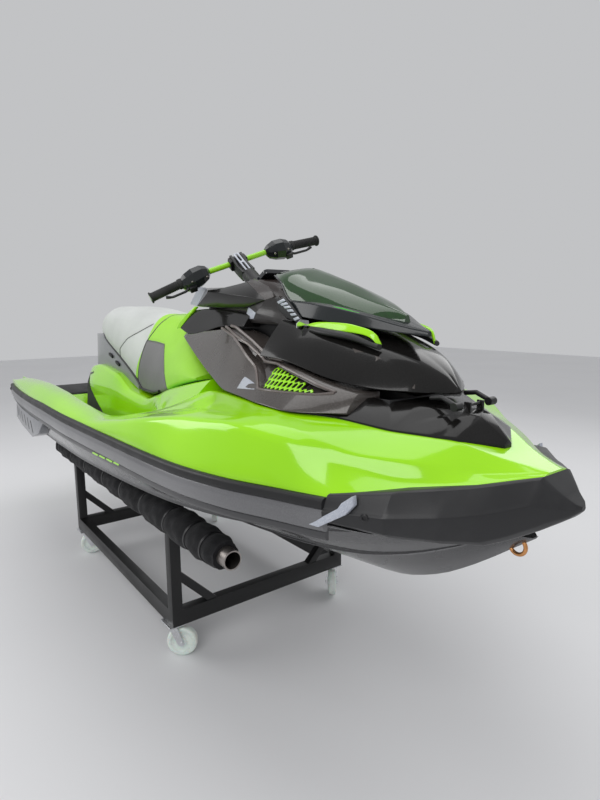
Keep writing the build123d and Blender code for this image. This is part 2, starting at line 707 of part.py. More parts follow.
# Ribbed vents at the rear corners of the hood
VENT_RIBS, VENT_PITCH, VENT_RIB_HALF = 6, 11.0, 2.5
VENT_INNER_Y, VENT_OUTER_Y, VENT_LOW_Z, VENT_TOP_Z = 96.0, 158.0, 1200.0, 1262.0
VENT_BACK_X, VENT_FACE_X, VENT_RIB_X = HOOD[0][0] - FIT, 790.0, 782.0
with BuildPart() as hood_vents:
    for side in (-1, 1):
        plate_y = sorted((side * VENT_INNER_Y, side * VENT_OUTER_Y))
        block(VENT_FACE_X, VENT_BACK_X, *plate_y, VENT_LOW_Z, VENT_TOP_Z)
        for rib in range(VENT_RIBS):
            y = side * (VENT_INNER_Y + 4 + rib * VENT_PITCH)
            block(VENT_RIB_X, VENT_FACE_X, y - VENT_RIB_HALF, y + VENT_RIB_HALF,
                  VENT_LOW_Z + 2, VENT_TOP_Z - 2)
save("hood_vents", hood_vents)

# Handlebar assembly, made straight ahead in the column's own frame and then turned to its stop
STEER_PLANE = Plane(
    origin=(BAR_X, 0, BAR_Z),
    x_dir=(cos(radians(COLUMN_RAKE)), 0, sin(radians(COLUMN_RAKE))),
    z_dir=(-sin(radians(COLUMN_RAKE)), 0, cos(radians(COLUMN_RAKE))),
)
STARBOARD_TURN = radians(STEER_REST)
TURNED = Plane(
    origin=STEER_PLANE.origin,
    x_dir=STEER_PLANE.x_dir * cos(STARBOARD_TURN) - STEER_PLANE.y_dir * sin(STARBOARD_TURN),
    z_dir=STEER_PLANE.z_dir,
)
CLAMP_DEEP, CLAMP_WIDE, CLAMP_TALL = 46.0, 74.0, 40.0
RISER_RADIUS, RISER_FROM, RISER_GAP = 21.0, 22.0, 1.0
GRIP_SWEEP = 28.0
GRIP_START = BAR_HALF - GRIP_LENGTH
BEND_INSET = 80.0  # bar bend, inboard of the grip


def bar_path():
    with BuildLine(TURNED) as path:
        FilletPolyline(
            (-GRIP_SWEEP, -BAR_HALF, 0), (0, BEND_INSET - GRIP_START, 0), (0, GRIP_START - BEND_INSET, 0),
            (-GRIP_SWEEP, BAR_HALF, 0), radius=60,
        )
    return path.line


with BuildPart() as handlebar:
    route = bar_path()
    with BuildSketch(Plane(origin=route @ 0, z_dir=route % 0)) as tube:
        Circle(BAR_RADIUS)
    sweep(tube.sketch, path=route)
save("handlebar", handlebar)

with BuildPart() as bar_clamp:
    with Locations(TURNED.offset(-4)):
        Box(CLAMP_DEEP, CLAMP_WIDE, CLAMP_TALL)
    with Locations(TURNED.offset(-RISER_FROM)):
        riser = COLUMN_BELOW_BAR - RISER_FROM - RISER_GAP
        Cylinder(RISER_RADIUS, riser, align=(Align.CENTER, Align.CENTER, Align.MAX))
    add(handlebar.part, mode=Mode.SUBTRACT)
save("bar_clamp", bar_clamp)

GRIP_LEAN = degrees(atan2(GRIP_SWEEP, GRIP_LENGTH + BEND_INSET))


def along_bar(distance, side):
    """Plane on the bar's axis at a distance from its outer end, z pointing outboard."""
    lean = radians(GRIP_LEAN)
    x = -GRIP_SWEEP + distance * sin(lean)
    y = side * (BAR_HALF - distance * cos(lean))
    origin = TURNED.from_local_coords(Vector(x, y, 0))
    outward = TURNED.from_local_coords(Vector(x - sin(lean), y + side * cos(lean), 0)) - origin
    return Plane(origin=origin, x_dir=TURNED.z_dir, z_dir=outward)


with BuildPart() as grips:
    for side in (-1, 1):
        with BuildSketch(along_bar(GRIP_LENGTH - 6, side)) as ring:
            Circle(GRIP_RADIUS)
            Circle(BAR_RADIUS + FIT, mode=Mode.SUBTRACT)
        extrude(ring.sketch, amount=GRIP_LENGTH)
        with BuildSketch(along_bar(0, side)) as cap:
            Circle(GRIP_RADIUS + 6)
            Circle(BAR_RADIUS + FIT, mode=Mode.SUBTRACT)
        extrude(cap.sketch, amount=6)
save("grips", grips)

with BuildPart() as control_modules:
    for side in (-1, 1):
        with BuildSketch(along_bar(GRIP_LENGTH + 66, side)) as module:
            RectangleRounded(54, 66, 14)
            Circle(BAR_RADIUS + FIT, mode=Mode.SUBTRACT)
        extrude(module.sketch, amount=56)
save("control_modules", control_modules)

LEVER_DROP, LEVER_BACK, LEVER_LENGTH = 38.0, 24.0, 84.0

with BuildPart() as control_levers:
    for side in (-1, 1):
        with BuildSketch(along_bar(GRIP_LENGTH + 8, side)) as lever:
            with Locations((-LEVER_DROP, -side * LEVER_BACK)):
                RectangleRounded(16, 10, 4)
        extrude(lever.sketch, amount=LEVER_LENGTH)
        with BuildSketch(along_bar(GRIP_LENGTH + 34, side)) as root:
            with Locations((-LEVER_DROP / 2 - 8, -side * LEVER_BACK / 2)):
                RectangleRounded(LEVER_DROP + 12, LEVER_BACK + 8, 6)
            Circle(BAR_RADIUS + FIT, mode=Mode.SUBTRACT)
        extrude(root.sketch, amount=26)
    add(control_modules.part, mode=Mode.SUBTRACT)
    add(grips.part, mode=Mode.SUBTRACT)
save("control_levers", control_levers)

# Jet drive: pump housing with its stator and venturi
PLATE_Z = 478.0
PUMP_FRONT_X, PUMP_REAR_X, VENTURI_END_X = -1090.0, -1330.0, -1478.0
VENTURI_OUTER, VENTURI_BORE = 50.0, 42.0
PUMP_PROFILE = [
    (PUMP_FRONT_X, PUMP_OUTER), (PUMP_REAR_X, PUMP_OUTER), (-1400, 66), (VENTURI_END_X, VENTURI_OUTER),
    (VENTURI_END_X, VENTURI_BORE), (-1400, 56), (PUMP_REAR_X, PUMP_BORE), (PUMP_FRONT_X, PUMP_BORE),
]
DRIVE_AXIS = Axis((0, 0, PUMP_Z), (1, 0, 0))
HUB_RADIUS = 28.0
STATOR_VANES = 7
EAR_Z = 84.0


def turned_profile(points):
    """Half section about the drive axis, given as x and radius."""
    with BuildSketch(Plane.XZ) as half:
        with BuildLine():
            Polyline(*[(x, PUMP_Z + radius) for x, radius in points], close=True)
        make_face()
    revolve(half.sketch, axis=DRIVE_AXIS)


with BuildPart() as jet_pump:
    turned_profile(PUMP_PROFILE)
    turned_profile([(-1300, SHAFT_RADIUS + FIT), (-1300, HUB_RADIUS), (-1390, HUB_RADIUS), (-1430, 8),
                    (-1430, 0), (-1372, 0), (-1372, SHAFT_RADIUS + FIT)])
    for vane in range(STATOR_VANES):
        with BuildSketch(Plane(origin=(-1345, 0, PUMP_Z), x_dir=(0, 1, 0), z_dir=(-1, 0, 0))) as blade:
            with Locations(Location((0, 0), 360 / STATOR_VANES * vane)):
                with Locations(((HUB_RADIUS + PUMP_BORE) / 2 - 2, 0)):
                    Rectangle(PUMP_BORE - HUB_RADIUS, 4)
        extrude(blade.sketch, amount=-40)
    block(PUMP_FRONT_X, PUMP_FRONT_X + 10, -TUNNEL_Y + FIT, TUNNEL_Y - FIT, PLATE_Z + 7, TUNNEL_TOP_Z - FIT)
    with Locations(Location((PUMP_FRONT_X, 0, PUMP_Z), (0, 90, 0))):
        Cylinder(PUMP_BORE, 60, mode=Mode.SUBTRACT)
    for up in (-1, 1):
        z_low, z_high = sorted((PUMP_Z + up * EAR_Z, PUMP_Z + up * (EAR_Z + 8)))
        block(NOZZLE_PIVOT_X - 16, PUMP_REAR_X + 10, -16, 16, z_low, z_high)
        with Locations((NOZZLE_PIVOT_X, 0, PUMP_Z + up * (EAR_Z - 8))):
            Cylinder(6, 18)
    for side in (-1, 1):
        with Locations(Location((BUCKET_PIVOT_X, side * 84, PUMP_Z), (90, 0, 0))):
            Cylinder(7, 40)
        block(BUCKET_PIVOT_X - 12, PUMP_REAR_X + 4, min(side * 80, side * 92), max(side * 80, side * 92),
              PUMP_Z - 12, PUMP_Z + 12)
save("jet_pump", jet_pump)

# Steering nozzle, made in line and then turned to its rest angle about the vertical pivot
NOZZLE_PROFILE = [
    (-1470, 80), (-1520, 76), (-1565, 56), (-1565, 48), (-1520, 62), (-1500, 68), (-1470, 72),
]


def turn_about(x, y, angle):
    """Location that turns a piece about a vertical axis through x, y."""
    return Location((x, y, 0)) * Location((0, 0, 0), (0, 0, angle)) * Location((-x, -y, 0))


with BuildPart() as straight_nozzle:
    turned_profile(NOZZLE_PROFILE)
    with Locations((NOZZLE_PIVOT_X, 0, PUMP_Z)):
        Cylinder(7, 240, mode=Mode.SUBTRACT)

with BuildPart() as steering_nozzle:
    add(straight_nozzle.part.moved(turn_about(NOZZLE_PIVOT_X, 0, NOZZLE_REST)))
save("steering_nozzle", steering_nozzle)

# Reverse bucket, stored up above the nozzle
BUCKET_INNER, BUCKET_OUTER = 172.0, 182.0
BUCKET_Y = 106.0
BUCKET_FROM, BUCKET_TO = 38.0, 98.0
ARM_THICK = 8.0


def bucket_point(radius, angle):
    """Side view point about the bucket's pivot; angle zero points aft, positive is up."""
    return (BUCKET_PIVOT_X - radius * cos(radians(angle)), PUMP_Z + radius * sin(radians(angle)))


with BuildPart() as reverse_bucket:
    with BuildSketch(Plane.XZ) as shell:
        with BuildLine():
            middle = (BUCKET_FROM + BUCKET_TO) / 2
            ThreePointArc(*[bucket_point(BUCKET_OUTER, a) for a in (BUCKET_FROM, middle, BUCKET_TO)])
            Line(bucket_point(BUCKET_OUTER, BUCKET_TO), bucket_point(BUCKET_INNER, BUCKET_TO))
            ThreePointArc(*[bucket_point(BUCKET_INNER, a) for a in (BUCKET_TO, middle, BUCKET_FROM)])
            Line(bucket_point(BUCKET_INNER, BUCKET_FROM), bucket_point(BUCKET_OUTER, BUCKET_FROM))
        make_face()
    extrude(shell.sketch, amount=BUCKET_Y, both=True)
    for side in (-1, 1):
        with BuildSketch(Plane.XZ.offset(-side * (BUCKET_Y - ARM_THICK / 2))) as arm:
            with BuildLine():
                Polyline(bucket_point(22, -60), bucket_point(22, 20), bucket_point(BUCKET_OUTER, BUCKET_FROM),
                         bucket_point(BUCKET_OUTER, BUCKET_TO), bucket_point(22, 150), bucket_point(22, 210),
                         close=True)
            make_face()
            with Locations((BUCKET_PIVOT_X, PUMP_Z)):
                Circle(7.5, mode=Mode.SUBTRACT)
        extrude(arm.sketch, amount=ARM_THICK / 2, both=True)
save("reverse_bucket", reverse_bucket)

# Impeller with its drive shaft up to the engine
BLADES, BLADE_TWIST = 4, 70.0
SHAFT_FWD_X = ENGINE_X - ENGINE_LENGTH / 2 - FIT
with BuildPart() as impeller:
    turned_profile([
        (-1370, 0), (-1370, SHAFT_RADIUS), (-1292, SHAFT_RADIUS), (-1292, HUB_RADIUS),
        (-1190, HUB_RADIUS - 6), (-1170, SHAFT_RADIUS), (SHAFT_FWD_X, SHAFT_RADIUS), (SHAFT_FWD_X, 0),
    ])
    for blade in range(BLADES):
        with BuildSketch(Plane(origin=(-1284, 0, PUMP_Z), x_dir=(0, 1, 0), z_dir=(1, 0, 0))) as root:
            with Locations(Location((0, 0), 360 / BLADES * blade)):
                with Locations(((IMPELLER_RADIUS + HUB_RADIUS) / 2 - 5, 0)):
                    Rectangle(IMPELLER_RADIUS - HUB_RADIUS + 10, 6)
        with BuildSketch(Plane(origin=(-1204, 0, PUMP_Z), x_dir=(0, 1, 0), z_dir=(1, 0, 0))) as tip:
            with Locations(Location((0, 0), 360 / BLADES * blade + BLADE_TWIST / 2)):
                with Locations(((IMPELLER_RADIUS + HUB_RADIUS) / 2 - 5, 0)):
                    Rectangle(IMPELLER_RADIUS - HUB_RADIUS + 10, 6)
        loft([root.sketch, tip.sketch], ruled=True)
save("impeller", impeller)

# Ride plate under the pump and intake grate ahead of it
PLATE_FWD_X, PLATE_THICK = PUMP_FRONT_X + 10, 7.0
with BuildPart() as ride_plate:
    block(TRANSOM_X, PLATE_FWD_X, -TUNNEL_Y + FIT, TUNNEL_Y - FIT, PLATE_Z, PLATE_Z + PLATE_THICK)
    for side in (-1, 1):
        wall = sorted((side * (TUNNEL_Y - FIT), side * (TUNNEL_Y - 6)))
        block(TRANSOM_X, PUMP_FRONT_X, *wall, PLATE_Z, PLATE_Z + 90)
save("ride_plate", ride_plate)

GRATE_BARS, GRATE_PITCH = 5, 40.0
with BuildPart() as intake_grate:
    for bar in range(GRATE_BARS):
        y = (bar - (GRATE_BARS - 1) / 2) * GRATE_PITCH
        block(-1060, -640, y - 4, y + 4, PLATE_Z, PLATE_Z + 16)
    for x in (-1052, -650):
        block(x - 10, x + 10, -TUNNEL_Y + FIT, TUNNEL_Y - FIT, PLATE_Z, PLATE_Z + 16)
    add(hull.part, mode=Mode.SUBTRACT)
save("intake_grate", intake_grate)

# Sponsons on the hull sides aft: outer edge in plan, and the outline in side view
SPONSON_PLAN = [(-1400, 552), (-1100, 578), (-800, 594), (-600, 598), (-530, 590)]
SPONSON_SIDE = [(-1396, 662), (-774, 656), (-611, 701), (-535, 766), (-1325, 752)]
SPONSON_INNER_Y = 500.0
with BuildPart() as sponsons:
    for side in (-1, 1):
        with BuildSketch(Plane.XY.offset(SPONSON_SIDE[1][1])) as sponson:
            with BuildLine():
                inner = [(x, side * SPONSON_INNER_Y) for x, y in (SPONSON_PLAN[-1], SPONSON_PLAN[0])]
                Polyline(*[(x, side * y) for x, y in SPONSON_PLAN], *inner, close=True)
            make_face()
        extrude(sponson.sketch, amount=SPONSON_SIDE[3][1] - SPONSON_SIDE[1][1])
    side_profile(SPONSON_SIDE, 700, Mode.INTERSECT)
    add(hull.part, mode=Mode.SUBTRACT)
save("sponsons", sponsons)

# Foam mats: one in each footwell, by its corners in plan, and one on the boarding platform
FOOT_MAT = [(-1090, 300), (-1090, 415), (90, 410), (90, 312), (-150, 292), (-900, 278)]
PLATFORM_MAT_WIDE, PLATFORM_MAT_EDGE = 840.0, 25.0
with BuildPart() as foot_mats:
    for side in (-1, 1):
        with BuildSketch(Plane.XY.offset(WELL[3][2])) as mat:
            with BuildLine():
                Polyline(*[(x, side * y) for x, y in FOOT_MAT], close=True)
            make_face()
        extrude(mat.sketch, amount=MAT_THICK)
    with BuildSketch(Plane.XY.offset(WELL[0][2])) as platform_mat:
        with Locations(((STERN_X + PLATFORM_STEP_X) / 2 - 8, 0)):
            RectangleRounded(PLATFORM_STEP_X - STERN_X - 2 * PLATFORM_MAT_EDGE, PLATFORM_MAT_WIDE, 30)
    extrude(platform_mat.sketch, amount=MAT_THICK)
    add(deck.part, mode=Mode.SUBTRACT)
save("foot_mats", foot_mats)

# Towing eyes: one on the stem and two on the transom, each half sunk in its own seat
EYE_RING, EYE_WIRE = 20.0, 5.0
BOW_EYE = Location((1512, 0, 722), (90, 0, 0))
STERN_EYES = [Location((TRANSOM_X, side * 330, 640), (90, 0, 0)) for side in (-1, 1)]
with BuildPart() as tow_eyes:
    for place in [BOW_EYE, *STERN_EYES]:
        with Locations(place):
            Torus(EYE_RING, EYE_WIRE)
    add(hull.part, mode=Mode.SUBTRACT)
save("tow_eyes", tow_eyes)

# Cradle: base frame, corner posts with gussets, bunks and casters
BEAM_TOP_Z = FRAME_FOOT_Z + BEAM_TALL
POST_TOP_Z = BUNK_Z - BUNK_PIPE_RADIUS
POST_X = (FRAME_AFT_X + POST_WIDE / 2, FRAME_FWD_X - POST_WIDE / 2)
POST_Y = FRAME_Y - POST_WIDE / 2
GUSSET_RISE, GUSSET_RUN, GUSSET_WIDE = 150.0, 150.0, 30.0

with BuildPart() as cradle_frame:
    for side in (-1, 1):
        inner, outer = side * (FRAME_Y - BEAM_WIDE), side * FRAME_Y
        block(FRAME_AFT_X, FRAME_FWD_X, min(inner, outer), max(inner, outer), FRAME_FOOT_Z, BEAM_TOP_Z)
    for x in POST_X:
        block(x - BEAM_WIDE / 2, x + BEAM_WIDE / 2, -FRAME_Y, FRAME_Y, FRAME_FOOT_Z, BEAM_TOP_Z)
        for side in (-1, 1):
            y = side * POST_Y
            block(x - POST_WIDE / 2, x + POST_WIDE / 2, y - POST_WIDE / 2, y + POST_WIDE / 2,
                  BEAM_TOP_Z, POST_TOP_Z)
            inner = side * (POST_Y - POST_WIDE / 2 + 2)
            with BuildSketch(Plane.YZ.offset(x - GUSSET_WIDE / 2)) as gusset:
                with BuildLine():
                    Polyline((inner, BEAM_TOP_Z + GUSSET_RISE), (inner, BEAM_TOP_Z + GUSSET_RISE - 42),
                             (inner - side * (GUSSET_RUN - 42), BEAM_TOP_Z - 2),
                             (inner - side * GUSSET_RUN, BEAM_TOP_Z - 2), close=True)
                make_face()
            extrude(gusset.sketch, amount=GUSSET_WIDE)
    for side in (-1, 1):
        with Locations(Location(((BUNK_AFT_X + BUNK_FWD_X) / 2, side * BUNK_Y, BUNK_Z), (0, 90, 0))):
            Cylinder(BUNK_PIPE_RADIUS + FIT, BUNK_FWD_X - BUNK_AFT_X + 2, mode=Mode.SUBTRACT)
save("cradle_frame", cradle_frame)

with BuildPart() as bunk_tubes:
    for side in (-1, 1):
        with Locations(Location(((BUNK_AFT_X + BUNK_FWD_X) / 2, side * BUNK_Y, BUNK_Z), (0, 90, 0))):
            Cylinder(BUNK_PIPE_RADIUS, BUNK_FWD_X - BUNK_AFT_X)
            Cylinder(BUNK_PIPE_RADIUS - 4, BUNK_FWD_X - BUNK_AFT_X, mode=Mode.SUBTRACT)
save("bunk_tubes", bunk_tubes)

for name, side in (("bunk_pad_starboard", -1), ("bunk_pad_port", 1)):
    with BuildPart() as bunk_pad:
        with Locations(Location(((BUNK_AFT_X + BUNK_FWD_X) / 2 - 10, side * BUNK_Y, BUNK_Z), (0, 90, 0))):
            Cylinder(BUNK_PAD_RADIUS, BUNK_FWD_X - BUNK_AFT_X - 60)
            Cylinder(BUNK_PIPE_RADIUS + FIT, BUNK_FWD_X - BUNK_AFT_X, mode=Mode.SUBTRACT)
        for x in POST_X:
            block(x - POST_WIDE / 2 - FIT, x + POST_WIDE / 2 + FIT, side * POST_Y - POST_WIDE / 2 - FIT,
                  side * POST_Y + POST_WIDE / 2 + FIT, BUNK_Z - 70, BUNK_Z, Mode.SUBTRACT)
        add(hull.part, mode=Mode.SUBTRACT)
    save(name, bunk_pad)

# Casters: a plate on the frame, and a fork that swivels under it and carries the wheel
AXLE_Z = WHEEL_RADIUS
CROWN_Z = 2 * WHEEL_RADIUS + 5.0
CROWN_THICK = 5.0
LEG_INNER_Y = WHEEL_WIDTH / 2 + 5.0
LEG_THICK = 4.0
AXLE_RADIUS = 5.0


def caster_spot(x_side, y_side):
    x = FRAME_FWD_X - CASTER_INSET if x_side > 0 else FRAME_AFT_X + CASTER_INSET
    return x, y_side * (FRAME_Y - BEAM_WIDE / 2)


with BuildPart() as caster_plates:
    for name, x_side, y_side, swivel in CASTERS:
        x, y = caster_spot(x_side, y_side)
        block(x - 42, x + 42, y - 32, y + 32, FRAME_FOOT_Z - CASTER_PLATE, FRAME_FOOT_Z)
save("caster_plates", caster_plates)

with BuildPart() as straight_fork:
    with Locations((0, 0, CROWN_Z)):
        Cylinder(LEG_INNER_Y + LEG_THICK, CROWN_THICK, align=(Align.CENTER, Align.CENTER, Align.MIN))
        Cylinder(14, FRAME_FOOT_Z - CASTER_PLATE - CROWN_Z - FIT, align=(Align.CENTER, Align.CENTER, Align.MIN))
    for side in (-1, 1):
        with BuildSketch(Plane.XZ.offset(-side * (LEG_INNER_Y + LEG_THICK / 2))) as leg:
            with BuildLine():
                Polyline((14, CROWN_Z + CROWN_THICK), (-CASTER_TRAIL + 12, AXLE_Z - 6),
                         (-CASTER_TRAIL, AXLE_Z - 13), (-CASTER_TRAIL - 12, AXLE_Z - 6),
                         (-18, CROWN_Z + CROWN_THICK), close=True)
            make_face()
        extrude(leg.sketch, amount=LEG_THICK / 2, both=True)
    with Locations(Location((-CASTER_TRAIL, 0, AXLE_Z), (90, 0, 0))):
        Cylinder(AXLE_RADIUS, 2 * (LEG_INNER_Y + LEG_THICK) + 8)

HUB_FACE = WHEEL_WIDTH / 2 + 3.0
WHEEL_SECTION = [
    (AXLE_RADIUS + FIT, -HUB_FACE), (16, -HUB_FACE), (18, -10), (40, -10), (42, -15), (WHEEL_RADIUS - 4, -16),
    (WHEEL_RADIUS, -11), (WHEEL_RADIUS, 11), (WHEEL_RADIUS - 4, 16), (42, 15), (40, 10), (18, 10),
    (16, HUB_FACE), (AXLE_RADIUS + FIT, HUB_FACE),
]
with BuildPart() as straight_wheel:
    with BuildSketch(Plane.XY) as section:
        with BuildLine():
            Polyline(*WHEEL_SECTION, close=True)
        make_face()
    revolve(section.sketch, axis=Axis.Y)

for name, x_side, y_side, swivel in CASTERS:
    x, y = caster_spot(x_side, y_side)
    placed = Location((x, y, 0), (0, 0, swivel))
    with BuildPart() as caster_fork:
        add(straight_fork.part.moved(placed))
    save("caster_fork_" + name, caster_fork)
    with BuildPart() as caster_wheel:
        add(straight_wheel.part.moved(placed * Location((-CASTER_TRAIL, 0, AXLE_Z))))
    save("caster_wheel_" + name, caster_wheel)
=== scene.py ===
"""Looks of the two-seat watercraft and its cradle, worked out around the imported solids.

Tables are in millimetres, in the row frame: +X is the bow, +Y is port, +Z is up from the floor.
"""
from math import atan2, cos, pi, radians, sin, sqrt

import bpy
import bmesh
import numpy as np
from mathutils import Matrix, Vector


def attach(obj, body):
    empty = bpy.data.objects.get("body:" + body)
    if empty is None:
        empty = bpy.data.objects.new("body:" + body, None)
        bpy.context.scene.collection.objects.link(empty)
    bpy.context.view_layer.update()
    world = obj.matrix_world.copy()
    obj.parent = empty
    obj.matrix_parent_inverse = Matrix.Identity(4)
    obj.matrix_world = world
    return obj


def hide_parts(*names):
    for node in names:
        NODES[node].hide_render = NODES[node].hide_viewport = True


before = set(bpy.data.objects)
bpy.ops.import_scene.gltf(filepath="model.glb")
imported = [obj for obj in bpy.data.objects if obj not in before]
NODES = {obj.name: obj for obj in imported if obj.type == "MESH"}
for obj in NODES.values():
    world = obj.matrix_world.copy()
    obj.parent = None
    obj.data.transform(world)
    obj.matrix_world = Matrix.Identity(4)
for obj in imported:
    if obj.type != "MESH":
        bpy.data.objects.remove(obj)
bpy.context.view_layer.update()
SCENE = bpy.context.scene
MM = 0.001
MERGE_DISTANCE = 0.00002
SCREW_SIDES = 24


# Curves and grids, as whole arrays

def read_rows(rows, stations):
    """Table columns at new stations: a monotone cubic Hermite curve through the rows. A row's slope is the
    weighted harmonic mean of the secants beside it, and zero where they change sign."""
    table = np.array(rows, float)
    x, y, at = table[:, 0], table[:, 1:], np.asarray(stations, float)
    h = np.diff(x)[:, None]
    secant = np.diff(y, axis=0) / h
    slope = np.zeros_like(y)
    same = secant[:-1] * secant[1:] > 0
    w1, w2 = 2 * h[1:] + h[:-1], h[1:] + 2 * h[:-1]
    safe0, safe1 = np.where(same, secant[:-1], 1.0), np.where(same, secant[1:], 1.0)
    slope[1:-1] = np.where(same, (w1 + w2) / (w1 / safe0 + w2 / safe1), 0.0)
    slope[0], slope[-1] = secant[0], secant[-1]
    i = np.clip(np.searchsorted(x, at) - 1, 0, len(x) - 2)
    t = ((at - x[i]) / h[i, 0])[:, None]
    return ((2 * t**3 - 3 * t**2 + 1) * y[i] + (t**3 - 2 * t**2 + t) * h[i] * slope[i]
            + (3 * t**2 - 2 * t**3) * y[i + 1] + (t**3 - t**2) * h[i] * slope[i + 1])


def stations_through(rows, step):
    """Stations about a step apart that keep every row of a table."""
    marks = [row[0] for row in rows]
    spans = [np.linspace(a, b, max(2, int(round((b - a) / step)) + 1))[:-1] for a, b in zip(marks, marks[1:])]
    return np.concatenate(spans + [np.array(marks[-1:])])


def soft_outline(corners, radii, crowns=None, arc=3, side=5):
    """Outline with eased corners. Each inner corner P becomes the parabola (1-t)^2 A + 2t(1-t) P + t^2 B
    between the points A and B that lie its radius away along its two sides. Each side bows out by its crown
    times 4 s (1-s). corners is (stations, corners, 2), and the result is (stations, points, 2)."""
    count = corners.shape[1]
    crowns = crowns or [0.0] * (count - 1)
    pieces = []
    for j in range(count - 1):
        start, end = corners[:, j], corners[:, j + 1]
        run = end - start
        length = np.maximum(np.linalg.norm(run, axis=1, keepdims=True), 1e-6)
        way = run / length
        out = np.stack([way[:, 1], -way[:, 0]], -1)
        lead = np.minimum(radii[j], 0.46 * length)
        tail = np.minimum(radii[j + 1], 0.46 * length)
        s = np.linspace(0, 1, side)[None, :, None]
        along = lead[:, None] + (length - lead - tail)[:, None] * s
        bow = crowns[j] * 4 * (along / length[:, None]) * (1 - along / length[:, None])
        points = start[:, None] + way[:, None] * along + out[:, None] * bow
        if j:
            a, b, middle = pieces[-1][:, -1:], points[:, :1], start[:, None]
            t = np.linspace(0, 1, arc + 2)[None, 1:-1, None]
            if radii[j] > 0:
                pieces.append((1 - t)**2 * a + 2 * t * (1 - t) * middle + t**2 * b)
        pieces.append(points)
    return np.concatenate(pieces, 1)


def mirrored(half):
    """Closed outline from its port half, which runs from the centreline below to the centreline above."""
    other = half[:, ::-1].copy()
    other[..., 0] *= -1
    return np.concatenate([half, other[:, 1:-1]], 1)


def full_turn(sides):
    """Angles of evenly spaced points on a circle."""
    return np.linspace(0, 2 * pi, sides, endpoint=False)


def ring_between(first, second, columns):
    """Quads between two closed rings of points, each given by the number of its first point."""
    k = np.arange(columns)
    after = (k + 1) % columns
    return [tuple(face) for face in np.stack([first + k, first + after, second + after, second + k], -1)]


def ring_faces(rows, columns):
    """Quads between closed rings that follow each other."""
    return [face for i in range(rows - 1) for face in ring_between(i * columns, (i + 1) * columns, columns)]


def skin(stations, outline):
    """Closed body from one outline a station. outline is (stations, points, 2) in Y and Z."""
    rows, columns = outline.shape[:2]
    along = np.broadcast_to(np.asarray(stations)[:, None, None], (rows, columns, 1))
    ends = [tuple(range(columns)), tuple(reversed(range((rows - 1) * columns, rows * columns)))]
    return np.concatenate([along, outline], -1).reshape(-1, 3), ring_faces(rows, columns) + ends


def domed(stations, outline, depth, steps=5):
    """Rounds off the aft end: its outline shrinks to its own middle by cos(a) as it goes on by depth times
    sin(a), for a up to 80 degrees."""
    end = outline[0]
    middle = (end.min(0) + end.max(0)) / 2
    angle = np.linspace(0, radians(80), steps + 1)[1:]
    shrunk = middle + (end - middle)[None] * np.cos(angle)[:, None, None]
    aft = stations[0] - depth * np.sin(angle)
    return np.concatenate([aft[::-1], stations]), np.concatenate([shrunk[::-1], outline])


def tube(path, radius, sides=14):
    """Round bar along a path: circles in planes square to the path, whose normals are carried along by
    taking out the part along the new tangent. radius is one number or one a point."""
    path = np.asarray(path, float)
    tangent = np.gradient(path, axis=0)
    tangent /= np.linalg.norm(tangent, axis=1, keepdims=True)
    normal = np.array([0.0, 0.0, 1.0])
    if abs(normal @ tangent[0]) > 0.95:
        normal = np.array([0.0, 1.0, 0.0])
    normals = []
    for t in tangent:
        normal = normal - (normal @ t) * t
        normal /= np.linalg.norm(normal)
        normals.append(normal)
    normals = np.array(normals)
    other = np.cross(tangent, normals)
    a = full_turn(sides)
    r = np.broadcast_to(np.asarray(radius, float), (len(path),))[:, None, None]
    ring = normals[:, None] * np.cos(a)[None, :, None] + other[:, None] * np.sin(a)[None, :, None]
    ends = [tuple(reversed(range(sides))), tuple(range((len(path) - 1) * sides, len(path) * sides))]
    return (path[:, None] + r * ring).reshape(-1, 3), ring_faces(len(path), sides) + ends


def bent(corners, radius, steps=8):
    """Path through corners, each rounded by a parabola that starts and ends its radius away."""
    corners = np.asarray(corners, float)
    points = [corners[0]]
    for before, corner, after in zip(corners, corners[1:], corners[2:]):
        a = corner + (before - corner) / np.linalg.norm(before - corner) * radius
        b = corner + (after - corner) / np.linalg.norm(after - corner) * radius
        t = np.linspace(0, 1, steps)[:, None]
        points.extend((1 - t)**2 * a + 2 * t * (1 - t) * corner + t**2 * b)
    points.append(corners[-1])
    return np.array(points)


def resampled(points, step):
    """Points at even steps along a line."""
    points = np.asarray(points, float)
    run = np.concatenate([[0], np.cumsum(np.linalg.norm(np.diff(points, axis=0), axis=1))])
    at = np.linspace(0, run[-1], max(2, int(run[-1] / step) + 1))
    return np.stack([np.interp(at, run, points[:, k]) for k in range(points.shape[1])], -1)


def line_through(rows, x):
    """Straight lines through (x, value) rows, read at x."""
    return np.interp(x, [row[0] for row in rows], [row[1] for row in rows])


def lathe(profile, sides=40):
    """Body turned about +X from (x, radius) pairs. A radius of zero closes it at a pole."""
    profile = np.asarray(profile, float)
    a = full_turn(sides)
    x, r = np.repeat(profile[:, :1], sides, 1), profile[:, 1:]
    return np.stack([x, r * np.cos(a), r * np.sin(a)], -1).reshape(-1, 3), ring_faces(len(profile), sides)


def plate(outline, thickness):
    """Slab in the XY plane between z = 0 and its thickness, from a closed outline."""
    outline = np.asarray(outline, float)
    n = len(outline)
    points = np.concatenate([np.c_[outline, np.zeros(n)], np.c_[outline, np.full(n, thickness)]])
    return points, ring_between(0, n, n) + [tuple(reversed(range(n))), tuple(range(n, 2 * n))]


